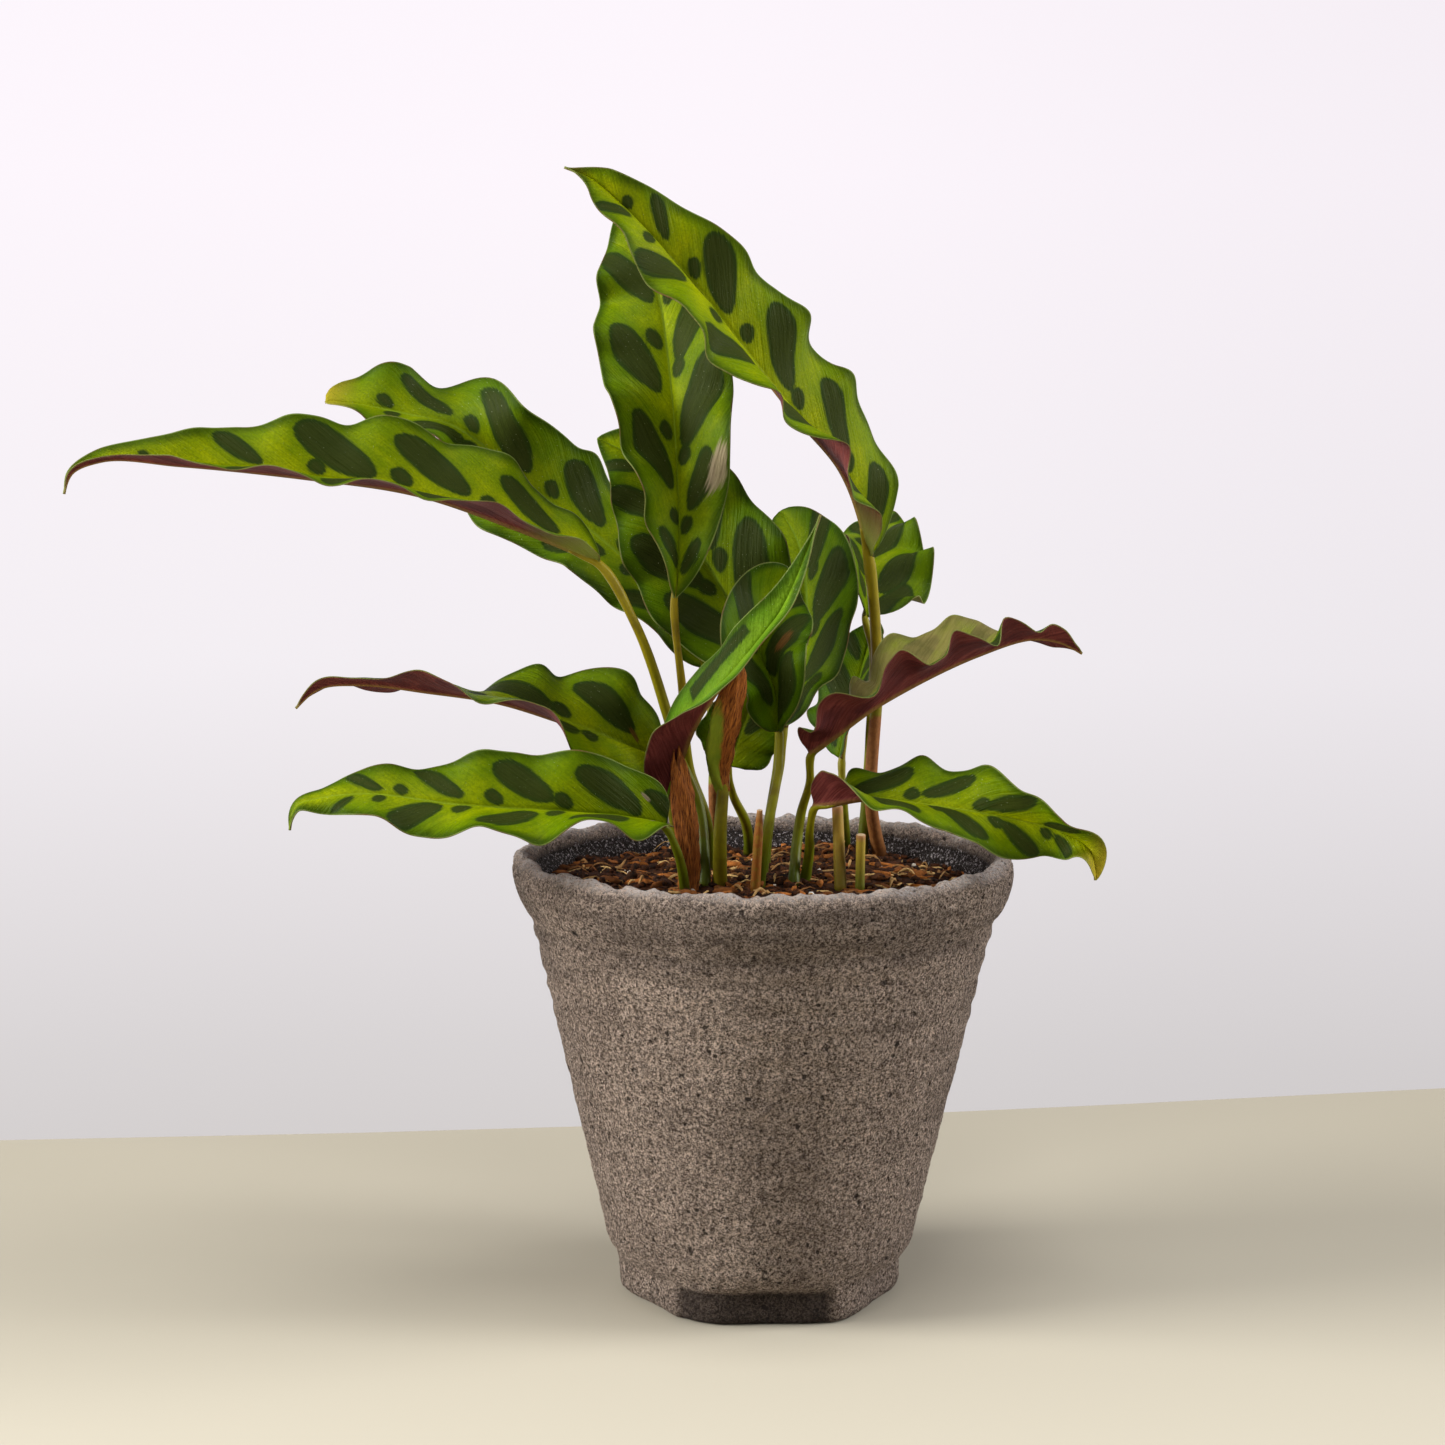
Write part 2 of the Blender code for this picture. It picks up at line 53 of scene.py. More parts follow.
# One entry per leaf, in millimetres and degrees. rib: midrib from neck to tip; stalk:
# from the soil to the neck; face: where the upper side looks, at shares of the length;
# minus and plus: the two halves, each (fold towards the face, wave height, place of
# the first crest, crest spacing); base and tip: how blunt the two ends are.
LEAVES = {
    "tall_arch": {
        "rib": [(28, 16, 194), (20, 5, 216), (8, -4, 230), (-5, -12, 246),
                (-20, -19, 265), (-36, -24, 282), (-43, -25, 288), (-50, -26, 291)],
        "stalk": [(33, 42, 110), (30, 33, 126), (31, 28, 157), (30, 23, 176)],
        "face": [(0, (0.71, -0.68, 0.19)), (0.35, (0.65, -0.68, 0.33)),
                 (0.6, (0.4, -0.87, 0.3)), (1, (-0.16, -0.86, 0.48))],
        "minus": ([(0, 46), (0.3, 48), (0.5, 40), (0.75, 27), (1, 20)], 3, 0.48, 0.181),
        "plus": ([(0, 13), (0.4, 13), (1, 24)], 2.4, 0.5, 0.206),
        "width": 19, "base": 0.52, "tip": 0.86, "foot": 1.8, "neck": 1.5},
    "upright_centre": {
        "rib": [(-23, -10, 184), (-22, -10, 194), (-23, -4, 224), (-25, 4, 245),
                (-28, 12, 263), (-36, 23, 286)],
        "stalk": [(-14, 18, 110), (-15, 5, 126), (-19, 2, 138), (-21, -4, 160)],
        "face": [(0, (0.14, -0.98, 0.1)), (0.5, (-0.16, -0.97, 0.19)), (1, (0.18, -0.9, 0.39))],
        "minus": ([(0, 43), (0.3, 45), (1, -9)], 2.7, 0.44, 0.191),
        "plus": ([(0, 20), (0.4, 26), (1, 15)], 2.4, 0.59, 0.243),
        "width": 19, "base": 0.85, "tip": 0.72},
    "long_left": {
        "rib": [(-42, -18, 194), (-61, -22, 202), (-87, -26, 211), (-114, -30, 215),
                (-144, -33, 218), (-163, -35, 219), (-170, -36, 216), (-172, -36, 211)],
        "stalk": [(-15, -10, 110), (-17, -4, 131), (-22, -3, 143), (-25, -4, 154), (-33, -13, 178)],
        "face": [(0, (0.08, -0.27, 0.96)), (0.6, (-0.01, -0.57, 0.82)), (1, (-0.53, -0.44, 0.72))],
        "minus": ([(0, 32), (0.15, 30), (1, 46)], 1.5, 0.23, 0.187),
        "plus": ([(0, 27), (1, 38)], 1.7, 0.22, 0.18),
        "width": 19, "base": 0.56, "tip": 1.21, "neck": 1.2},
    "back_left": {
        "rib": [(-16, 26, 163), (-24, 28, 178), (-44, 32, 197), (-58, 33, 207),
                (-82, 33, 226), (-97, 31, 230), (-107, 30, 232), (-117, 29, 233)],
        "stalk": [(-12, 31, 110), (-13, 22, 130), (-13, 24, 143)],
        "face": [(0, (-0.3, -0.25, 0.92)), (1, (-0.86, -0.22, 0.46))],
        "minus": ([(0, 6), (0.35, -7), (0.7, -2), (1, 10)], 3, 0.33, 0.21),
        "plus": ([(0, 10), (1, 34)], 3.1, 0.25, 0.205),
        "width": 17, "base": 0.56, "tip": 0.42},
    "centre_back": {
        "rib": [(1, 6, 164), (-6, 7, 177), (-15, 10, 192), (-25, 14, 208),
                (-33, 17, 218), (-44, 20, 224)],
        "stalk": [(0, 6, 110), (2, 4, 126), (4, 5, 141), (4, 6, 150)],
        "face": [(0, (0.1, -0.95, 0.2)), (1, (-0.1, -0.95, 0.3))],
        "minus": ([(0, 25), (0.4, 12), (1, 10)], 2, 0.32, 0.26),
        "plus": ([(0, 20), (1, 12)], 2, 0.35, 0.31),
        "width": 20.5, "base": 0.5, "tip": 0.8},
    "young_front": {
        "rib": [(-24, -12, 131), (-20, -18, 147), (-15, -26, 158), (-3, -34, 174),
                (4, -37, 184), (8, -38, 193), (13, -38, 207)],
        "stalk": [(-18, -9, 110), (-22, -11, 121)],
        "face": [(0, (-0.91, -0.16, 0.39)), (0.35, (-0.87, -0.12, 0.47)),
                 (0.55, (-0.65, -0.54, 0.54)), (1, (-0.35, -0.88, 0.32))],
        "minus": ([(0, 67), (0.4, 17), (0.6, 32), (1, 21)], 1.4, 0.34, 0.397),
        "plus": ([(0, 81), (0.25, 50), (0.45, 27), (0.6, 22), (1, 18)], 0.9, 0.21, 0.453),
        "width": 11, "base": 0.48, "tip": 1.3},
    "small_dark": {
        "rib": [(4, -8, 150), (3, -9, 160), (-1, -8, 170), (0, -6, 180), (3, -4, 187), (7, -3, 191)],
        "stalk": [(-1, -11, 110), (1, -13, 125), (4, -9, 141)],
        "face": [(0, (-0.12, -0.94, 0.31)), (0.5, (0.01, -0.86, 0.51)), (1, (-0.02, -0.95, 0.3))],
        "minus": ([(0, 55), (0.4, 50), (1, 45)], 1, 0.3, 0.3),
        "plus": ([(0, 72), (1, 9)], 1, 0.35, 0.297),
        "width": 16, "base": 0.52, "tip": 0.6},
    "lower_centre": {
        "rib": [(-9, 14, 138), (-6, 12, 147), (-3, 11, 156), (-1, 12, 162)],
        "stalk": [(-3, 44, 110), (-4, 34, 119), (-8, 21, 130)],
        "face": [(0, (0.05, -0.95, 0.3)), (1, (0, -0.95, 0.2))],
        "minus": ([(0, 8), (1, 8)], 1, 0.3, 0.3),
        "plus": ([(0, 8), (1, 8)], 1.2, 0.42, 0.3),
        "width": 11, "base": 0.49, "tip": 0.97},
    "right_back_tall": {
        "rib": [(6, 17, 148), (9, 21, 157), (12, 26, 170), (12, 31, 183),
                (10, 37, 195), (5, 43, 204)],
        "stalk": [(1, 22, 110), (2, 20, 122), (5, 18, 138)],
        "face": [(0, (0.01, -0.98, 0.2)), (1, (-0.02, -0.86, 0.51))],
        "minus": ([(0, -25), (1, -8)], 2, 0.3, 0.3),
        "plus": ([(0, 60), (1, 24)], 1.8, 0.42, 0.3),
        "width": 17.5, "base": 0.51, "tip": 0.62},
    "dark_back_right": {
        "rib": [(22, 44, 136), (24, 46, 145), (27, 53, 154), (30, 61, 164), (33, 69, 173)],
        "stalk": [(24, 50, 110), (23, 44, 124)],
        "face": [(0, (-0.83, -0.39, 0.4)), (1, (-0.45, -0.67, 0.59))],
        "minus": ([(0, 17), (1, 16)], 1.4, 0.26, 0.302),
        "plus": ([(0, 21), (1, 27)], 0.9, 0.43, 0.3),
        "width": 13.5, "base": 0.57, "tip": 0.95},
    "right_upper_back": {
        "rib": [(28, 34, 176), (29, 47, 182), (30, 63, 190), (33, 78, 197), (37, 92, 201)],
        "stalk": [(28, 40, 110), (29, 40, 123), (30, 36, 153), (30, 34, 167)],
        "face": [(0, (0.1, -0.8, 0.6)), (1, (-0.47, -0.52, 0.71))],
        "minus": ([(0, 62), (1, 8)], 3, 0.19, 0.36),
        "plus": ([(0, 11), (1, 4)], 3.8, 0.36, 0.301),
        "width": 18.5, "base": 0.5, "tip": 1},
    "right_twisted": {
        "rib": [(12, -12, 145), (17, -16, 149), (27, -19, 157), (40, -16, 164),
                (54, -12, 170), (69, -7, 174), (76, -5, 173), (82, -4, 170)],
        "stalk": [(8, -9, 110), (9, -3, 121), (10, -3, 128), (12, -6, 136)],
        "face": [(0, (-0.35, -0.6, 0.72)), (0.5, (-0.23, -0.43, 0.88)), (1, (-0.02, -0.22, 0.98))],
        "minus": ([(0, -45), (0.3, -5), (0.45, 22), (0.7, 22), (0.85, -30), (1, -40)], 1.8, 0.23, 0.2),
        "plus": ([(0, 88), (0.25, 62), (0.6, 50), (1, 48)], 3.2, 0.19, 0.18),
        "width": 15.5, "base": 0.51, "tip": 0.92},
    "lower_right": {
        "rib": [(13, -17, 132), (17, -21, 133), (25, -25, 135), (40, -29, 134),
                (58, -33, 132), (73, -36, 129), (80, -38, 125), (82, -39, 117)],
        "stalk": [(11, -5, 110), (12, -9, 119), (12, -14, 126)],
        "face": [(0, (-0.41, -0.03, 0.91)), (0.4, (0.01, -0.48, 0.88)),
                 (0.8, (0.12, -0.92, -0.38)), (1, (0.5, -0.84, 0.2))],
        "minus": ([(0, 5), (0.2, 17), (1, 41)], 2.1, 0.34, 0.247),
        "plus": ([(0, 81), (0.13, 68), (0.26, 18), (1, 21)], 1.9, 0.33, 0.298),
        "width": 12.5, "base": 0.4, "tip": 0.72},
    "left_middle": {
        "rib": [(-28, 1, 142), (-38, -6, 147), (-50, -12, 152), (-67, -17, 158),
                (-85, -20, 161), (-102, -22, 163), (-112, -23, 162), (-118, -23, 157)],
        "stalk": [(-17, 1, 110), (-19, -1, 120), (-22, -3, 135)],
        "face": [(0, (0.44, -0.86, 0.27)), (0.5, (-0.05, -0.29, 0.96)), (1, (-0.48, -0.24, 0.84))],
        "minus": ([(0, 10), (0.16, 14), (0.3, 24), (1, 42)], 2.6, 0.4, 0.264),
        "plus": ([(0, 18), (1, -33)], 2.6, 0.4, 0.237),
        "width": 18, "base": 0.46, "tip": 1.08},
    "left_low": {
        "rib": [(-25, -25, 128), (-35, -31, 131), (-51, -36, 133), (-75, -40, 135),
                (-98, -42, 138), (-109, -42, 137), (-115, -42, 135), (-117, -42, 129)],
        "stalk": [(-20, -16, 110), (-22, -22, 121)],
        "face": [(0, (0.1, -0.75, 0.66)), (0.6, (0, -0.76, 0.65)), (1, (-0.52, -0.74, 0.42))],
        "minus": ([(0, 48), (1, 0)], 3.3, 0.49, 0.249),
        "plus": ([(0, 47), (1, -22)], 2.1, 0.49, 0.251),
        "width": 15, "base": 0.41, "tip": 1.01, "foot": 1.3},
}

# Stems without a leaf. along and radius give the thickness along the route; a dry one
# wraps its CAD solid. torn: how ragged its end is, in mm; alive: how green one side still
# is, and alive_at where that side is, as a share of a turn.
STEMS = {
    "bract_stem": {
        "look": "green", "gold": 0.3, "route": [(-11, -9, 110), (-11, -11, 125), (-10, -11, 139)],
        "along": [0, 1], "radius": [1.9, 1.5]},
    "cut_stub_orange": {
        "look": "cut", "gold": 1.0, "route": [(-2, -15, 110), (-1, -19, 131)],
        "along": [0, 0.7, 1], "radius": [1.3, 1.2, 0.7]},
    "cut_stub_thick": {
        "look": "cut", "gold": 0.3, "route": [(20, -12, 110), (19, -12, 131)],
        "along": [0, 1], "radius": [1.6, 1.4]},
    "cut_stub_short": {
        "look": "cut", "gold": 0.0, "route": [(25, -12, 110), (25, -14, 124)],
        "along": [0, 1], "radius": [1.2, 1.2]},
    "dry_bract": {
        "look": "dry", "alive": 1.5, "alive_at": 0.08, "torn": 0.4, "squash": 0.6,
        "route": [(-10.2, -11.2, 134.5), (-11.6, -13, 141), (-9.5, -21, 155), (-6, -27, 169)],
        "along": [0, 0.1, 0.3, 0.55, 0.8, 0.95, 1], "radius": [1.6, 2.1, 3.6, 3.7, 2.9, 1.6, 0.5]},
    "dry_sheath": {
        "look": "dry", "alive": 0.0, "alive_at": 0.0, "torn": 2.2, "squash": 0.6,
        "route": [(-19, -14, 109), (-19.5, -15.5, 122), (-20.5, -17, 134), (-22, -19, 145)],
        "along": [0, 0.35, 0.7, 0.9, 1], "radius": [2.3, 3.0, 2.8, 2.0, 0.9]},
}

# What each leaf wears. tone_and_shade: 0 lime to 1 deep green, partly the leaf's own green
# and partly painted shade on leaves deep in the clump; big and small: where along the leaf
# the dark blotches sit on each half; streak: one long dark band instead; scars: (share
# along, mm from the midrib, size in mm, 1 pale or 0 brown); ripe: share from which the tip
# is yellow; char: how burnt that tip is; painted_glare: how much painted reflection of the
# pale surroundings, tan-grey, lies on one half; pale: share up to which the underside is
# still green; gold: how golden the stalk is; brown_to: the height in mm up to which the
# stalk is dry.
PLAIN = {"tone_and_shade": 0.3, "young": 0, "scars": [], "ripe": 2.0, "char": 0, "pale": 0.0, "gold": 0.3,
         "brown_to": 0, "painted_glare": 0.0, "streak": 0,
         "big_plus": [], "big_minus": [], "small_plus": [], "small_minus": []}
LEAF_LOOKS = {
    "tall_arch": {
        "seed": 1, "tone_and_shade": 0.0, "ripe": 0.95, "char": 1, "gold": 0.5, "brown_to": 152, "pale": 0.04,
        "big_plus": [0.10, 0.28, 0.47, 0.66, 0.81], "small_plus": [0.20, 0.37, 0.54, 0.70, 0.87],
        "big_minus": [0.20, 0.38, 0.56, 0.75, 0.88], "small_minus": [0.28, 0.46, 0.61, 0.80]},
    "upright_centre": {
        "seed": 2, "tone_and_shade": 0.45, "pale": 0.12, "gold": 0.6, "scars": [(0.29, 12, 3.6, 1.0)],
        "big_plus": [0.10, 0.27, 0.45, 0.65, 0.83], "small_plus": [0.17, 0.33, 0.54, 0.73],
        "big_minus": [0.12, 0.34, 0.57, 0.80], "small_minus": [0.19, 0.39, 0.62]},
    "long_left": {
        "seed": 3, "tone_and_shade": 0.0, "pale": 0.04, "gold": 0.5,
        "big_plus": [0.15, 0.33, 0.50, 0.67], "small_plus": [0.22, 0.38, 0.53, 0.83],
        "big_minus": [0.12, 0.28, 0.45, 0.62, 0.78], "small_minus": [0.20, 0.35, 0.52]},
    "back_left": {
        "seed": 4, "tone_and_shade": 0.55, "ripe": 0.93, "gold": 0.2, "brown_to": 135,
        "big_plus": [0.23, 0.43, 0.63, 0.80], "small_plus": [0.30, 0.49, 0.70, 0.88],
        "big_minus": [0.18, 0.38, 0.58, 0.77], "small_minus": [0.26, 0.47, 0.68, 0.86]},
    "centre_back": {
        "seed": 5, "tone_and_shade": 0.65,
        "big_plus": [0.10, 0.32, 0.58, 0.82], "small_plus": [0.40, 0.67],
        "big_minus": [0.24, 0.48, 0.71, 0.87], "small_minus": [0.34, 0.58]},
    "young_front": {
        "seed": 6, "tone_and_shade": 0.5, "young": 1, "ripe": 0.965, "gold": 0.1, "streak": 1},
    "small_dark": {
        "seed": 7, "tone_and_shade": 0.8, "scars": [(0.53, 8, 2.2, 0.0)],
        "big_plus": [0.24, 0.53, 0.80], "big_minus": [0.35, 0.65], "small_plus": [0.38]},
    "lower_centre": {"seed": 8, "tone_and_shade": 0.5, "big_plus": [0.60], "big_minus": [0.50]},
    "right_back_tall": {
        "seed": 9, "tone_and_shade": 0.75, "big_plus": [0.12, 0.34, 0.59, 0.80], "big_minus": [0.22, 0.46, 0.70],
        "small_plus": [0.43, 0.68], "small_minus": [0.32, 0.58]},
    "dark_back_right": {
        "seed": 10, "tone_and_shade": 0.9, "big_plus": [0.30, 0.62], "big_minus": [0.20, 0.50, 0.75]},
    "right_upper_back": {
        "seed": 11, "tone_and_shade": 0.45, "pale": 0.1, "big_plus": [0.12, 0.33, 0.62, 0.82],
        "small_plus": [0.23, 0.52, 0.72], "big_minus": [0.25, 0.50, 0.75], "small_minus": [0.34, 0.60]},
    "right_twisted": {
        "seed": 12, "tone_and_shade": 0.4, "painted_glare": 0.75,
        "big_plus": [0.12, 0.36, 0.58, 0.78], "small_plus": [0.24, 0.46, 0.68],
        "big_minus": [0.22, 0.46, 0.68, 0.84], "small_minus": [0.33, 0.55]},
    "lower_right": {
        "seed": 13, "tone_and_shade": 0.2, "ripe": 0.87,
        "big_plus": [0.30, 0.51, 0.68, 0.83], "small_plus": [0.42, 0.60, 0.76],
        "big_minus": [0.23, 0.44, 0.64, 0.80], "small_minus": [0.33, 0.55]},
    "left_middle": {
        "seed": 14, "tone_and_shade": 0.2, "scars": [(0.09, 3, 1.3, 0.0)],
        "big_plus": [0.18, 0.42, 0.62, 0.80], "small_plus": [0.30, 0.52, 0.71],
        "big_minus": [0.36, 0.56, 0.75], "small_minus": [0.22, 0.46, 0.65]},
    "left_low": {
        "seed": 15, "tone_and_shade": 0.35, "gold": 0, "scars": [(0.08, 6, 0.9, 1.0), (0.06, -4, 0.8, 1.0)],
        "big_plus": [0.03, 0.17, 0.38, 0.59, 0.77], "small_plus": [0.10, 0.28, 0.45, 0.68],
        "big_minus": [0.20, 0.42, 0.64, 0.82], "small_minus": [0.30, 0.53, 0.73]},
}
for leaf_name, wears in LEAF_LOOKS.items():
    LEAVES[leaf_name].update({**PLAIN, **wears})


# ---- numbers: curves, noise ------------------------------
def unit(rows):
    return rows / np.maximum(np.linalg.norm(rows, axis=-1, keepdims=True), 1e-9)


def smooth_line(points, count=None, step=None):
    """A smooth curve through the points, resampled to even spacing; also its length."""
    p = np.asarray(points, float)
    knots = np.concatenate([[0], np.cumsum(np.linalg.norm(np.diff(p, axis=0), axis=1) ** 0.75)])
    gaps = np.diff(knots)[:, None]
    slope = np.diff(p, axis=0) / gaps
    tangent = np.empty_like(p)
    tangent[1:-1] = (slope[:-1] * gaps[1:] + slope[1:] * gaps[:-1]) / (gaps[:-1] + gaps[1:])
    tangent[0] = (3 * slope[0] - tangent[1]) / 2 if len(p) > 2 else slope[0]
    tangent[-1] = (3 * slope[-1] - tangent[-2]) / 2 if len(p) > 2 else slope[0]
    where = np.linspace(0, knots[-1], 60 * len(p))
    span = np.clip(np.searchsorted(knots, where, side="right") - 1, 0, len(p) - 2)
    h = gaps[span]
    s = (where[:, None] - knots[span][:, None]) / h
    curve = ((2 * s ** 3 - 3 * s ** 2 + 1) * p[span] + (s ** 3 - 2 * s ** 2 + s) * h * tangent[span]
             + (3 * s ** 2 - 2 * s ** 3) * p[span + 1] + (s ** 3 - s ** 2) * h * tangent[span + 1])
    run = np.concatenate([[0], np.cumsum(np.linalg.norm(np.diff(curve, axis=0), axis=1))])
    if count is None:
        count = max(6, int(round(run[-1] / step)) + 1)
    even = np.linspace(0, run[-1], count)
    return np.column_stack([np.interp(even, run, curve[:, k]) for k in range(3)]), run[-1]


def keyed(u, keys):
    """Blend smoothly between (u, value) keys; a bare number is constant."""
    if not isinstance(keys, list):
        return np.full(len(u), float(keys))
    at = np.array([key[0] for key in keys], float)
    value = np.array([key[1] for key in keys], float)
    span = np.clip(np.searchsorted(at, u, side="right") - 1, 0, len(at) - 2)
    s = np.clip((u - at[span]) / (at[span + 1] - at[span]), 0, 1)
    s = s * s * (3 - 2 * s)
    if value.ndim > 1:
        s = s[:, None]
    return value[span] * (1 - s) + value[span + 1] * s


def lattice(cell, seed):
    """A repeatable random number from -1 to 1 for each whole-number cell."""
    x = cell[..., 0] * 374761393 + cell[..., 1] * 668265263 + cell[..., 2] * 1274126177 + seed * 974634777
    x = (x ^ (x >> 13)) * 1103515245
    x = x ^ (x >> 16)
    return ((x & 0xFFFF) / 32767.5) - 1.0


def value_noise(points, size, seed):
    """Smooth noise from -1 to 1 with features of the given size."""
    p = np.asarray(points, float) / size + 1000.0
    base = np.floor(p).astype(np.int64)
    f = p - base
    f = f * f * (3 - 2 * f)
    total = 0.0
    for i in (0, 1):
        for j in (0, 1):
            for k in (0, 1):
                weight = ((f[..., 0] if i else 1 - f[..., 0]) * (f[..., 1] if j else 1 - f[..., 1])
                          * (f[..., 2] if k else 1 - f[..., 2]))
                total = total + weight * lattice(base + np.array([i, j, k]), seed)
    return total


def rough_noise(points, size, seed, octaves=3, fall=0.55):
    total = 0.0
    strength = 1.0
    for k in range(octaves):
        total = total + strength * value_noise(points, size / 2 ** k, seed + 17 * k)
        strength = strength * fall
    return total


# ---- mesh building ------------------------------
def make_mesh(name, points, faces, attributes, uv, material):
    """A smooth-shaded mesh from millimetre points, with float attributes and a bake map."""
    mesh = bpy.data.meshes.new(name)
    mesh.from_pydata((np.asarray(points, float) * MM).tolist(), [], faces)
    for key, values in attributes.items():
        layer = mesh.attributes.new(key, "FLOAT", "POINT")
        layer.data.foreach_set("value", np.asarray(values, np.float32).ravel())
    if uv is not None:
        layer = mesh.uv_layers.new(name="OFBake")
        layer.data.foreach_set("uv", np.asarray(uv, np.float32).ravel())
    mesh.polygons.foreach_set("use_smooth", np.ones(len(mesh.polygons), bool))
    mesh.materials.append(material)
    mesh.update()
    piece = bpy.data.objects.new(name, mesh)
    bpy.context.scene.collection.objects.link(piece)
    return piece


def grid_faces(rows, columns, start=0, wrap=False, flip=False):
    """Quads of a grid of points stored row by row."""
    r = np.arange(rows - 1)[:, None]
    c = np.arange(columns if wrap else columns - 1)[None, :]
    a = start + r * columns + c
    b = start + r * columns + (c + 1) % columns
    d = a + columns
    e = b + columns
    quads = np.stack([a + 0 * b, b, e, d], axis=-1).reshape(-1, 4)
    if flip:
        quads = quads[:, ::-1]
    return quads


def tube(route, radii, sides=16, ripple=None, squash=1.0):
    """Points (rings, sides, 3) of a tube along a route."""
    along = unit(np.gradient(route, axis=0))
    first = unit(np.cross(along[0], np.array([0.0, 1.0, 0.13])))
    rings = np.empty((len(route), sides, 3))
    angle = 2 * np.pi * np.arange(sides) / sides
    for k in range(len(route)):
        first = unit(first - np.dot(first, along[k]) * along[k])
        second = np.cross(along[k], first)
        r = radii[k] * (1.0 if ripple is None else ripple[k])
        rings[k] = route[k] + (np.cos(angle)[:, None] * first
                               + np.sin(angle)[:, None] * second * squash) * np.reshape(r, (-1, 1))
    return rings


def tube_piece(name, rings, attributes, material):
    """A closed tube piece; attributes are one value per ring or per point."""
    count, sides = rings.shape[:2]
    points = rings.reshape(-1, 3)
    faces = grid_faces(count, sides, wrap=True).tolist()
    faces.append(list(range(sides))[::-1])
    faces.append([(count - 1) * sides + m for m in range(sides)])
    full = {}
    for key, values in attributes.items():
        values = np.asarray(values, float)
        if values.ndim == 1:
            values = np.repeat(values[:, None], sides, axis=1)
        full[key] = values.ravel()
    return make_mesh(name, points, faces, full, None, material)


# ---- shader building ------------------------------
def linear(srgb):
    """An sRGB colour, 0 to 255, as linear RGBA."""
    parts = [v / 255.0 for v in srgb]
    return (*[v / 12.92 if v <= 0.04045 else ((v + 0.055) / 1.055) ** 2.4 for v in parts], 1.0)


class Nodes:
    """Short names for the shader nodes used here, on one node tree."""

    def __init__(self, tree):
        self.tree = tree

    def put(self, socket, value):
        """Link a socket, or set a plain value; three numbers are an sRGB colour, 0 to 255."""
        if isinstance(value, bpy.types.NodeSocket):
            self.tree.links.new(value, socket)
        elif isinstance(value, tuple):
            socket.default_value = linear(value)
        else:
            socket.default_value = value

    def node(self, kind, values=(), **settings):
        """A new node with its settings, and its first sockets fed in order."""
        made = self.tree.nodes.new("ShaderNode" + kind)
        for key, value in settings.items():
            setattr(made, key, value)
        for socket, value in zip(made.inputs, values):
            self.put(socket, value)
        return made

    def attribute(self, name):
        return self.node("Attribute", attribute_name=name).outputs["Fac"]

    def attributes(self, *names):
        return [self.attribute(name) for name in names]

    def place(self):
        return self.node("TexCoord").outputs["Object"]

    def part(self, vector, axis):
        return self.node("SeparateXYZ", (vector,)).outputs[axis]

    def join(self, x, y, z):
        return self.node("CombineXYZ", (x, y, z)).outputs[0]

    def add(self, a, b):
        return self.node("Math", (a, b), operation="ADD").outputs[0]

    def times(self, a, b):
        return self.node("Math", (a, b), operation="MULTIPLY").outputs[0]

    def swing(self, value, size):
        """Noise around 0.5, turned into plus and minus half the size."""
        return self.times(self.add(value, -0.5), size)

    def step(self, value, low, high, to_low=0.0, to_high=1.0):
        """Smooth step of value from low to high."""
        made = self.node("MapRange", (value, low, high, to_low, to_high), interpolation_type="SMOOTHSTEP")
        return made.outputs[0]

    def mix(self, share, a, b):
        made = self.node("Mix", data_type="RGBA")
        for place, value in ((0, share), (6, a), (7, b)):
            self.put(made.inputs[place], value)
        return made.outputs[2]

    def noise(self, where, scale, detail, rough):
        made = self.node("TexNoise")
        for name, value in (("Vector", where), ("Scale", scale), ("Detail", detail), ("Roughness", rough)):
            self.put(made.inputs[name], value)
        return made.outputs[0]

    def cells(self, where, scale):
        made = self.node("TexVoronoi")
        self.put(made.inputs["Vector"], where)
        self.put(made.inputs["Scale"], scale)
        return made.outputs["Distance"]


class Look(Nodes):
    """One Principled material."""

    def __init__(self, name):
        self.material = bpy.data.materials.new(name)
        self.material.use_nodes = True
        super().__init__(self.material.node_tree)
        self.shader = self.tree.nodes["Principled BSDF"]

    def out(self, name, value):
        self.put(self.shader.inputs[name], value)

    def finish(self, skin, rough, gloss, relief, strength, depth):
        """Set colour, roughness, specular level and relief, whose depth is in metres."""
        bump = self.node("Bump")
        for name, value in (("Strength", strength), ("Distance", depth), ("Height", relief)):
            self.put(bump.inputs[name], value)
        self.out("Base Color", skin)
        self.out("Roughness", rough)
        self.out("Specular IOR Level", gloss)
        self.out("Normal", bump.outputs[0])
        return self.material


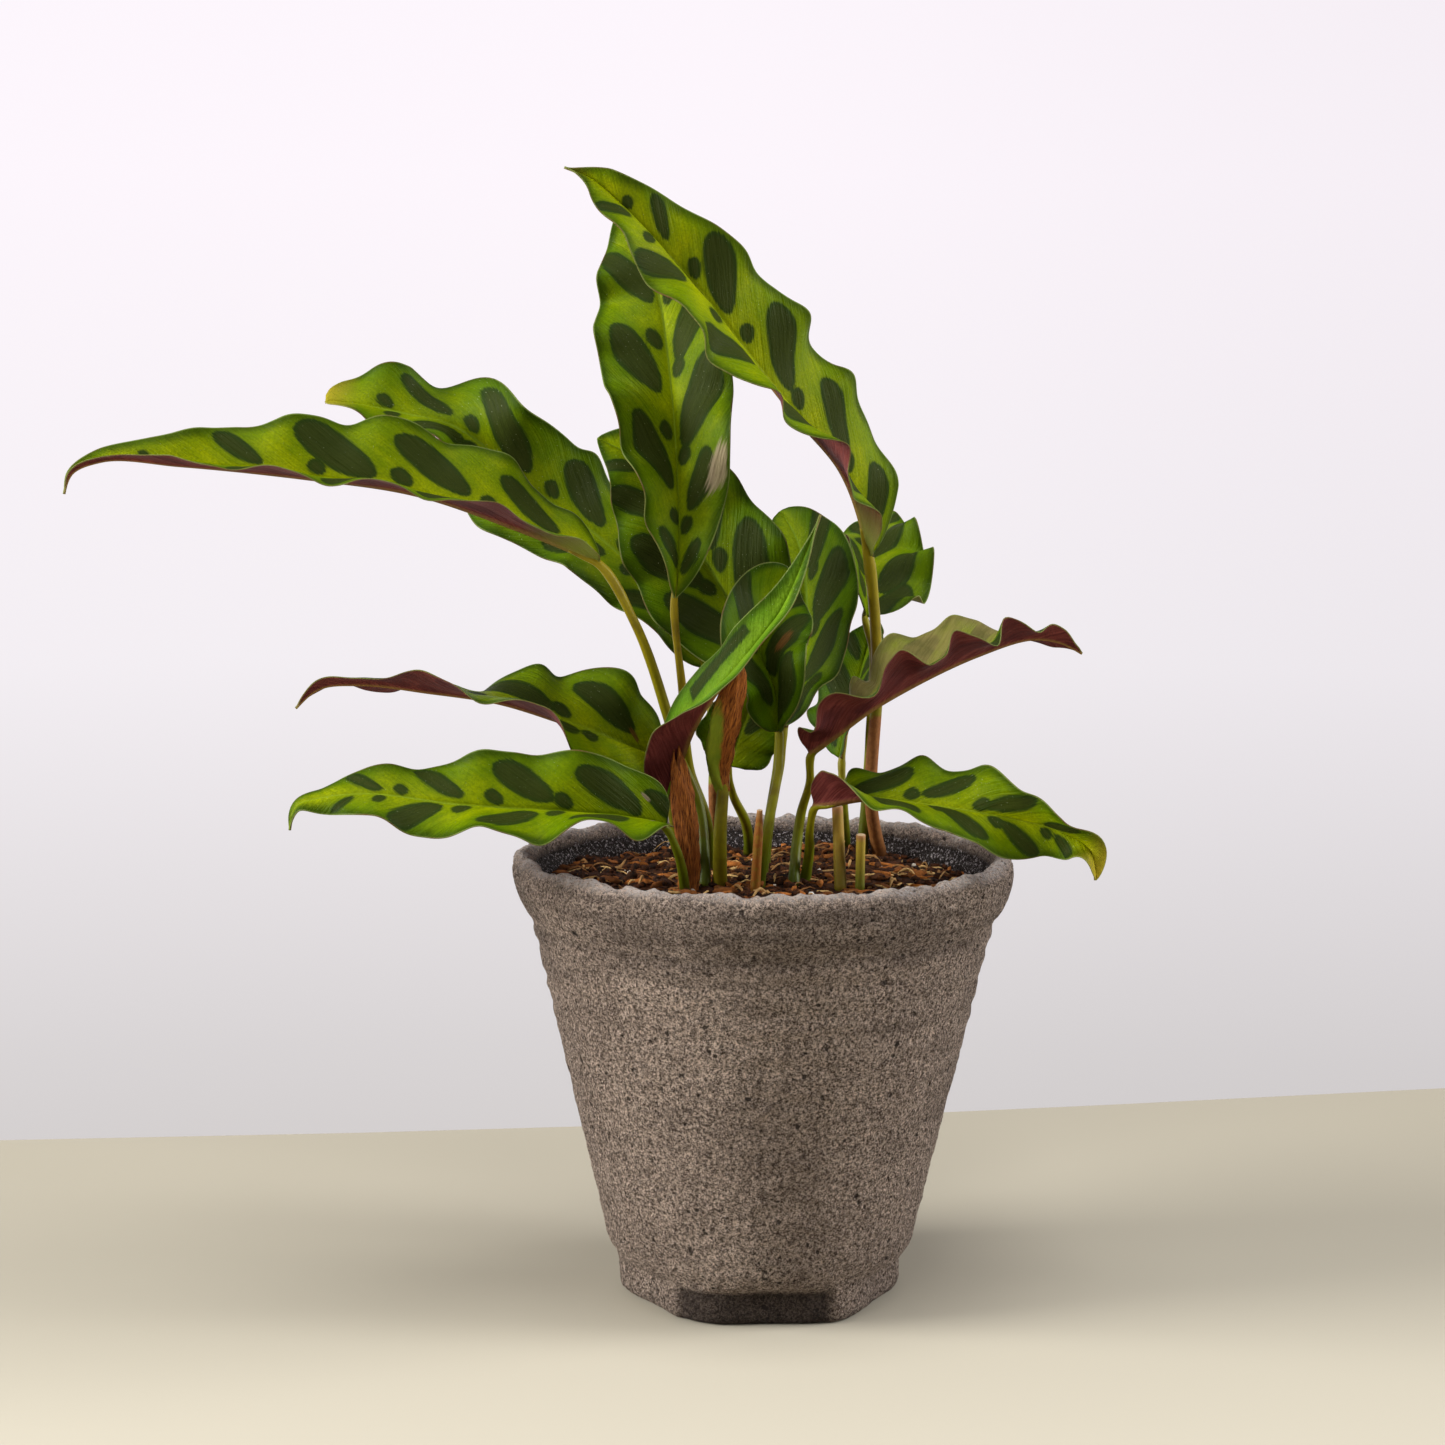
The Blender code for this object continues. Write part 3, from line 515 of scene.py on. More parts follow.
def leaf_look():
    """Upper face: lime to green with dark blotches, the deep green partly painted shade, and a painted
    tan-grey reflection on one half; underside: maroon; pale rim and midrib.
    """
    k = Look("calathea_leaf")
    run, out, edge, band, rib = k.attributes("run", "out", "edge", "band", "rib")
    blotch, under, tone_and_shade, young = k.attributes("blotch", "under", "tone_and_shade", "young")
    scar, ripe = k.attributes("scar", "ripe")
    slant = 1.0 / np.tan(np.radians(VEIN_ANGLE))
    across = k.node("Math", (out,), operation="ABSOLUTE").outputs[0]
    vein_place = k.add(run, k.times(across, -slant))
    vein_run = k.add(k.times(run, 0.6), across)
    side = k.times(k.node("Math", (out,), operation="SIGN").outputs[0], 40.0)
    streak_place = k.join(k.add(vein_place, side), k.times(vein_run, 0.09), tone_and_shade)
    flat_place = k.join(run, out, tone_and_shade)
    streaks = k.noise(streak_place, 1.35, 3.0, 0.6)
    wide_streaks = k.noise(streak_place, 0.32, 2.0, 0.5)
    mottle = k.noise(flat_place, 0.09, 3.0, 0.6)
    speck = k.noise(flat_place, 1.6, 2.0, 0.6)

    # Lime to deep green by the per-leaf tone value: partly the leaf's own green, partly painted shade on
    # leaves deep in the clump.
    lime = k.mix(tone_and_shade, (150, 158, 0), (98, 122, 0))
    lime = k.mix(young, lime, (112, 146, 30))
    green = k.mix(tone_and_shade, (102, 124, 0), (54, 86, 2))
    green = k.mix(young, green, (80, 120, 20))
    share = k.add(k.times(mottle, 1.3), k.times(wide_streaks, 0.5))
    share = k.add(share, k.times(edge, 0.75))
    share = k.step(share, 0.8, 1.65)
    upper = k.mix(share, lime, green)
    upper = k.mix(k.step(streaks, 0.42, 0.72, 0.0, 0.25), upper, (62, 90, 2))
    upper = k.mix(k.step(speck, 0.4, 0.62, 0.0, 0.3), upper, (66, 86, 0))
    margin = k.add(band, k.swing(streaks, 2.2))
    margin = k.add(margin, k.swing(mottle, 5.0))
    upper = k.mix(k.step(margin, 0.2, 3.2, 0.85, 0.0), upper, k.mix(tone_and_shade, (44, 64, 2), (28, 52, 4)))
    fuzz = k.add(blotch, k.swing(streaks, 1.5))
    fuzz = k.add(fuzz, k.swing(speck, 0.5))
    inside = k.step(fuzz, -0.35, 0.45, 1.0, 0.0)
    halo = k.step(blotch, 0.2, 3.2, 0.35, 0.0)
    upper = k.mix(halo, upper, k.mix(tone_and_shade, (76, 100, 2), (48, 80, 6)))
    dark = k.mix(streaks, (26, 35, 6), (54, 62, 24))
    dark = k.mix(k.step(fuzz, -1.6, -0.2, 0.0, 0.55), dark, (26, 50, 12))
    upper = k.mix(k.times(inside, 0.96), upper, dark)
    dust = k.noise(flat_place, 2.6, 1.0, 0.5)
    upper = k.mix(k.step(dust, 0.74, 0.80, 0.0, 0.4), upper, (190, 200, 160))
    # Painted reflection: a mottled tan-grey sheen of the pale surroundings, painted on one half of a leaf.
    painted_glare = k.times(k.attribute("painted_glare"), k.step(mottle, 0.3, 0.6, 0.5, 1.0))
    upper = k.mix(painted_glare, upper, k.mix(streaks, (96, 84, 40), (150, 136, 84)))
    yellow = k.mix(streaks, (150, 146, 20), (192, 160, 50))
    yellow = k.mix(k.attribute("char"), yellow, k.mix(streaks, (52, 26, 16), (104, 60, 34)))
    yellow = k.mix(young, yellow, (120, 52, 60))
    upper = k.mix(k.times(ripe, k.step(mottle, 0.3, 0.6, 0.45, 1.0)), upper, yellow)
    burn = k.mix(k.attribute("scar_tone"), k.mix(streaks, (64, 44, 20), (118, 80, 38)),
                 k.mix(streaks, (92, 80, 60), (170, 154, 128)))
    upper = k.mix(k.step(k.add(scar, k.swing(streaks, 0.9)), 0.35, 0.75, 0.0, 0.88), upper, burn)
    upper = k.mix(k.times(rib, 0.75), upper, k.mix(tone_and_shade, (128, 144, 30), (104, 138, 40)))

    maroon = k.mix(k.step(streaks, 0.3, 0.75), (86, 38, 36), (122, 62, 56))
    maroon = k.mix(k.step(mottle, 0.35, 0.7, 0.0, 0.6), maroon, (70, 32, 32))
    maroon = k.mix(k.times(inside, 0.35), maroon, (44, 16, 26))
    maroon = k.mix(k.attribute("pale"), maroon, k.mix(streaks, (128, 140, 56), (104, 104, 48)))
    maroon = k.mix(k.times(rib, 0.8), maroon, (150, 120, 60))
    skin = k.mix(under, upper, maroon)
    rim = k.step(band, 0.16, 0.36, 1.0, 0.0)
    rim_tint = k.mix(k.step(mottle, 0.45, 0.7), (138, 152, 84), (120, 66, 60))
    skin = k.mix(k.times(rim, 0.42), skin, rim_tint)
    rough = k.add(k.add(0.34, k.times(streaks, 0.16)), k.times(inside, 0.06))
    rough = k.add(rough, k.times(under, 0.1))
    ridges = k.add(k.times(streaks, 0.5), k.times(wide_streaks, 0.9))
    ridges = k.add(ridges, k.times(speck, 0.25))
    return k.finish(skin, rough, 0.04, ridges, 0.75, 0.0007)


def stalk_look():
    """Smooth juicy stalk, olive at the soil, yellow-green above, brown where dry."""
    k = Look("calathea_stalk")
    place = k.place()
    share, brown, gold = k.attributes("share", "brown", "gold")
    grain = k.noise(place, 900.0, 3.0, 0.6)
    patch = k.noise(place, 160.0, 3.0, 0.6)
    skin = k.mix(k.step(share, 0.0, 0.4), (70, 82, 6), (112, 122, 12))
    skin = k.mix(gold, skin, (160, 126, 16))
    skin = k.mix(k.step(patch, 0.45, 0.7, 0.0, 0.5), skin, (88, 66, 16))
    bark = k.mix(grain, (92, 50, 26), (168, 112, 58))
    wear = k.add(brown, k.swing(patch, 0.7))
    skin = k.mix(k.step(wear, 0.35, 0.6), skin, bark)
    return k.finish(skin, k.step(wear, 0.3, 0.6, 0.4, 0.7), 0.2, grain, 0.35, 0.0003)


def dry_look():
    """Papery dead sheath: tan and brown streaks, green where it is still alive."""
    k = Look("dry_sheath")
    share, turn, living = k.attributes("share", "turn", "living")
    fibres = k.noise(k.join(k.times(share, 2.2), turn, 0.0), 5.0, 4.0, 0.65)
    patch = k.noise(k.place(), 260.0, 3.0, 0.6)
    skin = k.mix(k.step(fibres, 0.34, 0.66), (66, 28, 8), (192, 116, 50))
    skin = k.mix(k.step(patch, 0.45, 0.7, 0.0, 0.6), skin, (150, 84, 36))
    skin = k.mix(k.step(k.add(living, k.times(patch, 0.4)), 0.55, 0.8), skin,
                 k.mix(patch, (150, 160, 40), (104, 132, 30)))
    return k.finish(skin, 0.68, 0.15, k.add(fibres, k.times(patch, 0.5)), 0.7, 0.0006)


def pot_look():
    """Moulded paper pulp: grey-brown felt of short fibres; painted shade in its pores, in one deep hole,
    along the groove, on the collar and inside the rim; pale fluff with a painted highlight on the lip.
    """
    k = Look("moulded_fibre")
    place = k.place()
    lip, inner, hole_shade, dark_foot_and_groove_shade, shade = k.attributes("lip", "inner", "hole_shade", "dark_foot_and_groove_shade", "shade")
    fine = k.noise(place, 2600.0, 3.0, 0.75)
    grit = k.noise(place, 1350.0, 4.0, 0.8)
    knob = k.noise(place, 620.0, 2.0, 0.5)
    clump = k.noise(place, 260.0, 3.0, 0.65)
    cloud = k.noise(place, 34.0, 3.0, 0.6)
    flecks = k.cells(place, 620.0)
    holes = k.cells(place, 330.0)
    skin = k.mix(k.step(grit, 0.40, 0.62), (240, 215, 195), (62, 47, 38))
    skin = k.mix(k.step(fine, 0.46, 0.62, 0.0, 0.66), skin, (52, 39, 33))
    skin = k.mix(k.step(knob, 0.5, 0.66, 0.0, 0.5), skin, (60, 46, 39))
    skin = k.mix(k.step(fine, 0.30, 0.46, 0.75, 0.0), skin, (236, 220, 208))
    skin = k.mix(k.step(cloud, 0.35, 0.7, 0.0, 0.25), skin, (84, 68, 59))
    skin = k.mix(k.step(clump, 0.55, 0.72, 0.0, 0.25), skin, (170, 150, 138))
    spots = k.add(flecks, k.swing(grit, 1.0))
    skin = k.mix(k.step(spots, 0.08, 0.2, 0.8, 0.0), skin, (38, 27, 23))
    # Painted shade in small pores, which the relief also presses in.
    pore_shade = k.add(holes, k.swing(clump, 1.4))
    skin = k.mix(k.step(pore_shade, 0.03, 0.1, 0.85, 0.0), skin, (28, 19, 16))
    # Pale lip: fibre fluff and a painted highlight along the crest and the inner ledge.
    fluff_and_highlight = k.times(lip, k.step(grit, 0.42, 0.56))
    skin = k.mix(k.times(fluff_and_highlight, 0.9), skin, (238, 228, 222))
    # Painted shade: the inside of the rim down to the soil is painted near black, with pale fibre specks.
    inside = k.mix(k.step(grit, 0.55, 0.63), (16, 10, 9), (226, 214, 214))
    skin = k.mix(k.times(inner, 0.95), skin, inside)
    # Darker at the bottom and in the front recess, plus painted shade along the groove under the collar.
    skin = k.mix(k.times(dark_foot_and_groove_shade, 0.82), skin, (34, 24, 20))
    # Painted shade of one deep hole under the rim: a near-black spot.
    skin = k.mix(hole_shade, skin, (16, 10, 9))
    # Darker horizontal felt bands, plus painted shade on the flared collar under the lip.
    skin = k.mix(k.times(shade, 0.45), skin, (46, 35, 30))
    height = k.add(k.times(fine, 0.9), k.times(grit, 1.6))
    height = k.add(height, k.times(clump, 1.2))
    height = k.add(height, k.times(knob, 2.6))
    height = k.add(height, k.step(pore_shade, 0.0, 0.14, -0.9, 0.0))
    return k.finish(skin, 0.93, 0.2, height, 1.0, 0.0016)


def soil_look():
    """Moist peat and coir: dark crumbs, brown chips, tan fibres, a few pale grains."""
    k = Look("potting_soil")
    place = k.place()
    kind, shade = k.attributes("kind", "shade")
    crumb = k.noise(place, 700.0, 4.0, 0.7)
    clod = k.noise(place, 220.0, 3.0, 0.6)
    peat = k.mix(k.step(crumb, 0.38, 0.66), (12, 5, 1), (84, 44, 16))
    peat = k.mix(k.step(clod, 0.45, 0.7), peat, (62, 34, 12))
    chip = k.mix(shade, (44, 20, 6), (186, 112, 48))
    straw = k.mix(shade, (120, 66, 24), (248, 204, 132))
    grain = k.mix(shade, (214, 200, 176), (246, 242, 232))
    skin = k.mix(k.step(kind, 0.5, 0.6), peat, chip)
    skin = k.mix(k.step(kind, 1.5, 1.6), skin, straw)
    skin = k.mix(k.step(kind, 2.5, 2.6), skin, grain)
    # Painted shade: the hollows between the crumbs are darker.
    skin = k.mix(k.step(crumb, 0.3, 0.55, 0.55, 0.0), skin, (24, 13, 6))
    return k.finish(skin, 0.86, 0.2, k.add(crumb, clod), 0.9, 0.0009)


def cut_look():
    """Cut stem: yellow-green skin, drying to tan at the cut, pale pith on its end."""
    k = Look("cut_stem")
    place = k.place()
    share, pith, orange = k.attributes("share", "pith", "gold")
    grain = k.noise(place, 700.0, 3.0, 0.6)
    skin = k.mix(k.step(share, 0.0, 0.8), (104, 108, 14), (172, 146, 36))
    skin = k.mix(k.times(orange, k.step(grain, 0.3, 0.6, 0.5, 1.0)), skin, (156, 92, 20))
    skin = k.mix(k.step(share, 0.86, 0.97), skin, (168, 118, 58))
    skin = k.mix(pith, skin, k.mix(grain, (214, 178, 128), (240, 220, 184)))
    return k.finish(skin, 0.55, 0.5, grain, 0.5, 0.0004)


LEAF_LOOK = leaf_look()
STALK_LOOK = stalk_look()
DRY_LOOK = dry_look()
POT_LOOK = pot_look()
SOIL_LOOK = soil_look()
CUT_LOOK = cut_look()


# ---- leaves ------------------------------
def blade_width(leaf, u):
    """Half-width in mm at each share of the length."""
    p = leaf["base"]
    q = leaf["tip"]
    widest = p / (p + q)
    peak = widest ** p * (1 - widest) ** q
    slim = np.clip((1 - u) / 0.07, 0, 1) ** 0.55 if leaf["char"] else 1.0
    return leaf["width"] * u ** p * (1 - u) ** q / peak * slim


def blade_surface(leaf, rows):
    """Middle surface of a blade with its rib, unit vectors, half-widths and margin shares."""
    rib, length = smooth_line(leaf["rib"], count=rows)
    u = np.linspace(0.0, 1.0, rows)
    along = unit(np.gradient(rib, axis=0))
    face = keyed(u, leaf["face"])
    face = unit(face - (face * along).sum(1)[:, None] * along)
    across = np.cross(along, face)
    wide = blade_width(leaf, np.linspace(0.0006, 0.9985, rows))
    wide = np.maximum(wide, 0.25)
    calm = np.clip(u / 0.10, 0, 1) * np.clip((1 - u) / 0.08, 0, 1)
    calm = calm * np.clip(wide / leaf["width"] * 1.3, 0, 1)
    share = np.linspace(-1, 1, 2 * BLADE_HALF + 1)
    share = np.sign(share) * (1 - (1 - np.abs(share)) ** 1.15)
    grid = np.empty((rows, len(share), 3))
    reach_mm = np.empty((rows, len(share)))
    for column, out in enumerate(share):
        side = -1.0 if out < 0 else 1.0
        reach = abs(out)
        fold, rise, first, spacing = leaf["minus"] if side < 0 else leaf["plus"]
        fold = np.radians(keyed(u, fold))
        phase = 2 * np.pi * (u - first) / spacing
        swing = np.cos(phase + 0.35 * np.sin(phase * 0.37 + leaf["seed"])) * calm
        small = np.sin(phase * 2.3 + leaf["seed"] * 3) * calm * 0.16
        outward = np.cos(fold)[:, None] * across * side + np.sin(fold)[:, None] * face
        upward = np.cos(fold)[:, None] * face - np.sin(fold)[:, None] * across * side
        length_mm = wide * reach * (1 + SCALLOP * (swing + small) * reach)
        lift = rise * (swing + small) * reach ** 1.7 + CROWN * wide * reach * (1 - reach)
        lift = lift + np.minimum(0.35 * reach * wide, 0.30)
        grid[:, column] = rib + outward * length_mm[:, None] + upward * lift[:, None]
        reach_mm[:, column] = side * length_mm
    return grid, rib, length, u, wide, share, reach_mm, face


def blotch_distance(leaf, length, run, out):
    """Distance in mm outside the nearest dark blotch, negative inside one."""
    angle = np.radians(VEIN_ANGLE)
    best = np.full(run.shape, 99.0)
    halves = ((-1, leaf["big_minus"], leaf["small_minus"]), (1, leaf["big_plus"], leaf["small_plus"]))
    for side, big, small in halves:
        spots = [(at, True) for at in big] + [(at, False) for at in small]
        for order, (at, large) in enumerate(spots):
            wide = blade_width(leaf, np.array([np.clip(at, 0.06, 0.95)]))[0]
            vary = 1 + 0.10 * np.sin(leaf["seed"] * 7 + order * 2.3 + side)
            if large:
                reach = 0.47 * wide
                half_long = 0.345 * wide / np.sin(angle) * vary
                half_wide = min(0.37 * half_long, 4.3) * (1 + 0.12 * np.cos(order * 1.9 + leaf["seed"]))
            else:
                reach = 0.16 * wide + 0.4
                half_long = 2.9 * np.sqrt(wide / 18.0) * vary
                half_wide = 2.0 * np.sqrt(wide / 18.0)
            x = run - at * length
            y = side * out - reach
            along = x * np.cos(angle) + y * np.sin(angle)
            aside = y * np.cos(angle) - x * np.sin(angle)
            aside = aside + 0.10 * along * np.abs(along) / half_long
            belly = half_wide * (1 + 0.18 * np.clip(along / half_long, -1, 1))
            away = np.sqrt((along / half_long) ** 2 + (aside / belly) ** 2)
            steep = np.sqrt((along / half_long ** 2) ** 2 + (aside / belly ** 2) ** 2)
            distance = (away - 1) * away / np.maximum(steep, 0.02)
            distance = np.where(side * out < -0.2, 99.0, distance)
            best = np.minimum(best, distance)
    if leaf["streak"]:
        wide = blade_width(leaf, np.clip(run[:, :1] / length, 0.01, 0.98))
        beside = np.abs(out / wide + 0.62) * wide - 0.2 * wide
        best = np.maximum(np.abs(run - 0.47 * length) - 0.15 * length, beside)
    return best


def build_leaf(name, leaf):
    """One dense closed blade with the pattern attributes, standing for its CAD node."""
    length = smooth_line(leaf["rib"], count=10)[1]
    rows = int(length / BLADE_ROW) + 2
    grid, rib, length, u, wide, share, reach, face = blade_surface(leaf, rows)
    columns = 2 * BLADE_HALF + 1
    lengthwise = np.gradient(grid, axis=0)
    crosswise = np.gradient(grid, axis=1)
    normal = unit(np.cross(crosswise, lengthwise))
    run = np.repeat((u * length)[:, None], columns, axis=1)
    edge = np.repeat(np.abs(share)[None, :], rows, axis=0)
    width_mm = np.repeat(wide[:, None], columns, axis=1)
    ridge_size = np.clip(0.75 * (1 - 0.75 * u), 0.12, 1)[:, None]
    ridge = np.exp(-(np.abs(reach) / (0.55 * ridge_size + 0.12)) ** 2)
    pucker = rough_noise(np.stack([run - np.abs(reach) * 1.28, np.abs(reach) * 0.35,
                                   np.sign(reach) * 9 + leaf["seed"] * 31], axis=-1), 7.0, 5, 2)
    pucker = pucker * 0.16 * np.clip(width_mm / 8, 0, 1) * (1 - ridge)
    thick = BLADE_THICK * np.clip(1.08 - edge ** 6 * 0.55, 0.3, 2)
    upper = grid + normal * (thick / 2 + pucker - ridge * 0.20 * ridge_size)[..., None]
    lower = grid - normal * (thick / 2 - pucker + ridge * 0.95 * ridge_size)[..., None]
    blotch = blotch_distance(leaf, length, run, reach)
    band = (1 - edge) * width_mm
    rib_mark = np.exp(-(np.abs(reach) / (0.34 * ridge_size + 0.12)) ** 2)
    scar = np.zeros(run.shape)
    scar_tone = np.zeros(run.shape)
    lean = np.radians(VEIN_ANGLE)
    for place, out, size, pale_scar in leaf["scars"]:
        x = run - place * length
        y = (reach - out) * (1.0 if out > 0 else -1.0)
        along_vein = x * np.cos(lean) + y * np.sin(lean)
        off_vein = y * np.cos(lean) - x * np.sin(lean)
        here = 1.3 - np.sqrt((along_vein * 0.42) ** 2 + (off_vein * 1.4) ** 2) / size
        scar_tone = np.where(here > scar, pale_scar, scar_tone)
        scar = np.maximum(scar, here)
    ripe = np.clip((u[:, None] - leaf["ripe"]) / 0.1, 0, 1) + 0 * run
    pale = np.clip(1 - (u[:, None] - leaf["pale"]) / 0.12, 0, 1) * (leaf["pale"] > 0) + 0 * run
    count = rows * columns
    both = {
        "run": run, "out": reach, "edge": edge, "blotch": blotch, "band": band, "rib": rib_mark,
        "scar": scar, "scar_tone": scar_tone, "ripe": ripe, "pale": pale,
        "young": np.full(run.shape, leaf["young"]), "char": np.full(run.shape, leaf["char"]),
        "painted_glare": np.where(reach < 0, leaf["painted_glare"], 0.0) + 0 * run, "tone_and_shade": np.full(run.shape, leaf["tone_and_shade"])}
    attributes = {key: np.concatenate([value.ravel(), value.ravel()]) for key, value in both.items()}
    attributes["under"] = np.concatenate([np.zeros(count), np.ones(count)])
    top_faces = grid_faces(rows, columns)
    low_faces = grid_faces(rows, columns, start=count, flip=True)
    border = [r * columns for r in range(rows)]
    border += [(rows - 1) * columns + c for c in range(1, columns)]
    border += [r * columns + columns - 1 for r in range(rows - 2, -1, -1)]
    border += [c for c in range(columns - 2, 0, -1)]
    first = np.array(border)
    second = np.roll(first, -1)
    rim_faces = np.stack([first, second, second + count, first + count], axis=-1)
    faces = np.vstack([top_faces, low_faces, rim_faces])
    flat_u = np.repeat(u[:, None], columns, axis=1).ravel()
    flat_v = np.repeat((share[None, :] + 1) / 2, rows, axis=0).ravel()
    top_uv = np.stack([0.01 + 0.98 * flat_u, 0.01 + 0.46 * flat_v], axis=-1)
    low_uv = np.stack([0.01 + 0.98 * flat_u, 0.53 + 0.46 * flat_v], axis=-1)
    rim_run = np.linspace(0.01, 0.99, len(border) + 1)
    rim_uv = np.stack([np.stack([rim_run[:-1], np.full(len(border), 0.49)], -1),
                       np.stack([rim_run[1:], np.full(len(border), 0.49)], -1),
                       np.stack([rim_run[1:], np.full(len(border), 0.51)], -1),
                       np.stack([rim_run[:-1], np.full(len(border), 0.51)], -1)], axis=1)
    uv = np.concatenate([top_uv[top_faces].reshape(-1, 2), low_uv[low_faces - count].reshape(-1, 2),
                         rim_uv.reshape(-1, 2)])
    points = np.vstack([upper.reshape(-1, 3), lower.reshape(-1, 3)])
    piece = make_mesh("blade_" + name, points, faces.tolist(), attributes, uv, LEAF_LOOK)
    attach(piece, "root")
    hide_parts("leaf_" + name)
    return rib, length, face


def build_stalk(name, leaf, rib, length, face):
    """The leaf's stalk, running on under the first part of the blade as its keel."""
    reach = max(2, int(len(rib) * min(0.16, 9.0 / length)))
    tail = rib[:reach] - face[:reach] * np.linspace(0.55, 0.35, reach)[:, None]
    stops = leaf["stalk"] + [tuple(tail[0]), tuple(tail[reach // 2]), tuple(tail[-1])]
    route, total = smooth_line(stops, step=1.0)
    route[0, 2] = SOIL_TOP - ROOTED
    share = np.linspace(0, 1, len(route))
    neck = 1 - np.linalg.norm(tail[-1] - tail[0]) / total
    foot = leaf.get("foot", 1.5)
    top = leaf.get("neck", 1.0)
    radii = np.interp(share, [0, 0.06, neck * 0.5, neck - 0.14, neck - 0.04, neck, 1],
                      [foot * 1.12, foot, (foot + top) / 2, top * 0.98, top * 1.12, top * 0.95, top * 0.42])
    wobble = value_noise(route, 6.0, 3) * 0.05
    rings = tube(route, radii * (1 + wobble), sides=16)
    height = route[:, 2]
    brown = np.clip((leaf["brown_to"] - height) / 6.0, 0, 1)
    gold = np.full(len(route), leaf["gold"]) * np.clip((share - 0.15) / 0.5, 0, 1)
    piece = tube_piece("stalk_" + name + "_look", rings,
                       {"share": share, "brown": brown, "gold": gold}, STALK_LOOK)
    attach(piece, "root")
    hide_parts("stalk_" + name)


for leaf_name, leaf in LEAVES.items():
    leaf_rib, leaf_length, leaf_face = build_leaf(leaf_name, leaf)
    build_stalk(leaf_name, leaf, leaf_rib, leaf_length, leaf_face)


# ---- cut stems, bract and sheath ------------------------------
def build_stem(name, stem):
    route = smooth_line(stem["route"], step=0.8)[0]
    if route[0, 2] < SOIL_TOP + 2:
        route[0, 2] = SOIL_TOP - ROOTED
    share = np.linspace(0, 1, len(route))
    radii = np.interp(share, stem["along"], stem["radius"])
    dry = stem["look"] == "dry"
    sides = 40 if dry else 20
    turn = np.arange(sides) / sides
    ripple = None
    if dry:
        ring_turn = 2 * np.pi * turn[None, :] + 1.6 * share[:, None]
        climb = share[:, None]
        ripple = 1 + 0.15 * np.cos(4 * ring_turn + 0.8) + 0.09 * np.cos(7 * ring_turn + 2.0 + 3 * climb)
        ripple = ripple + 0.06 * np.cos(15 * ring_turn + 5 * climb)
        ripple = ripple + 0.05 * np.cos(3 * ring_turn + 14 * climb)
    rings = tube(route, radii, sides=sides, ripple=ripple, squash=stem.get("squash", 1.0))
    if dry:
        torn = np.sin(6 * np.pi * turn + 1.0) + 0.6 * np.sin(14 * np.pi * turn)
        rings[..., 2] += stem["torn"] * torn[None, :] * np.clip((share[:, None] - 0.6) / 0.4, 0, 1)
    attributes = {"share": share}
    look = STALK_LOOK
    if dry:
        look = DRY_LOOK
        attributes["turn"] = np.repeat(np.abs(turn * 2 - 1)[None, :] * 6.0, len(route), axis=0)
        green_side = np.clip(np.cos(2 * np.pi * (turn - stem["alive_at"])), 0, 1)[None, :]
        attributes["living"] = green_side * (1 - climb) * stem["alive"]
    elif stem["look"] == "cut":
        look = CUT_LOOK
        end = unit(route[-1] - route[-2])
        rim = rings[-1]
        centre = rim.mean(axis=0)
        lip = centre + (rim - centre) * 0.82 + end * 0.12
        inner = centre + (rim - centre) * 0.62 + end * 0.02
        rings = np.concatenate([rings, lip[None], inner[None]])
        attributes = {"share": np.append(share, [1.0, 1.0]), "pith": np.append(share * 0, [0.8, 1.0]),
                      "gold": np.full(len(share) + 2, stem["gold"])}
    else:
        attributes["brown"] = share * 0
        attributes["gold"] = share * 0 + stem["gold"]
    piece = tube_piece(name + "_look", rings, attributes, look)
    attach(piece, "root")
    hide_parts(name)


for stem_name, stem in STEMS.items():
    build_stem(stem_name, stem)


# ---- pot ------------------------------
# (radius, height) in mm, from under the foot, up the wall and over the lip to below the soil.
POT_PROFILE = [(4, 0.0), (30, 0.0), (35.2, 0.1), (36.3, 1.0), (37.0, 6.0), (37.3, 10.0), (38.4, 12.2),
               (39.7, 14.0), (42.3, 23.0), (48.3, 48.5), (54.4, 74.5), (58.2, 91.5), (59.2, 95.8),
               (59.7, 98.2), (60.0, 100.2), (61.0, 102.0), (62.8, 104.8), (64.2, 108.0), (64.9, 111.2),
               (65.1, 114.0), (64.5, 116.1), (63.2, 117.1), (61.7, 117.1), (60.7, 116.3), (60.2, 114.5),
               (59.6, 111.8), (57.8, 110.2), (57.2, 107.0), (56.6, 101.0)]


POT_SIDES = 560
FOOT_TURN = 3.0             # degrees the foot's six flats are turned
FLAT_DEPTH = 3.2
HOLE_SHADE_AT = (-46.7, -40.6, 103.4)     # painted shade of one deep hole under the rim, front left; no hole is modelled
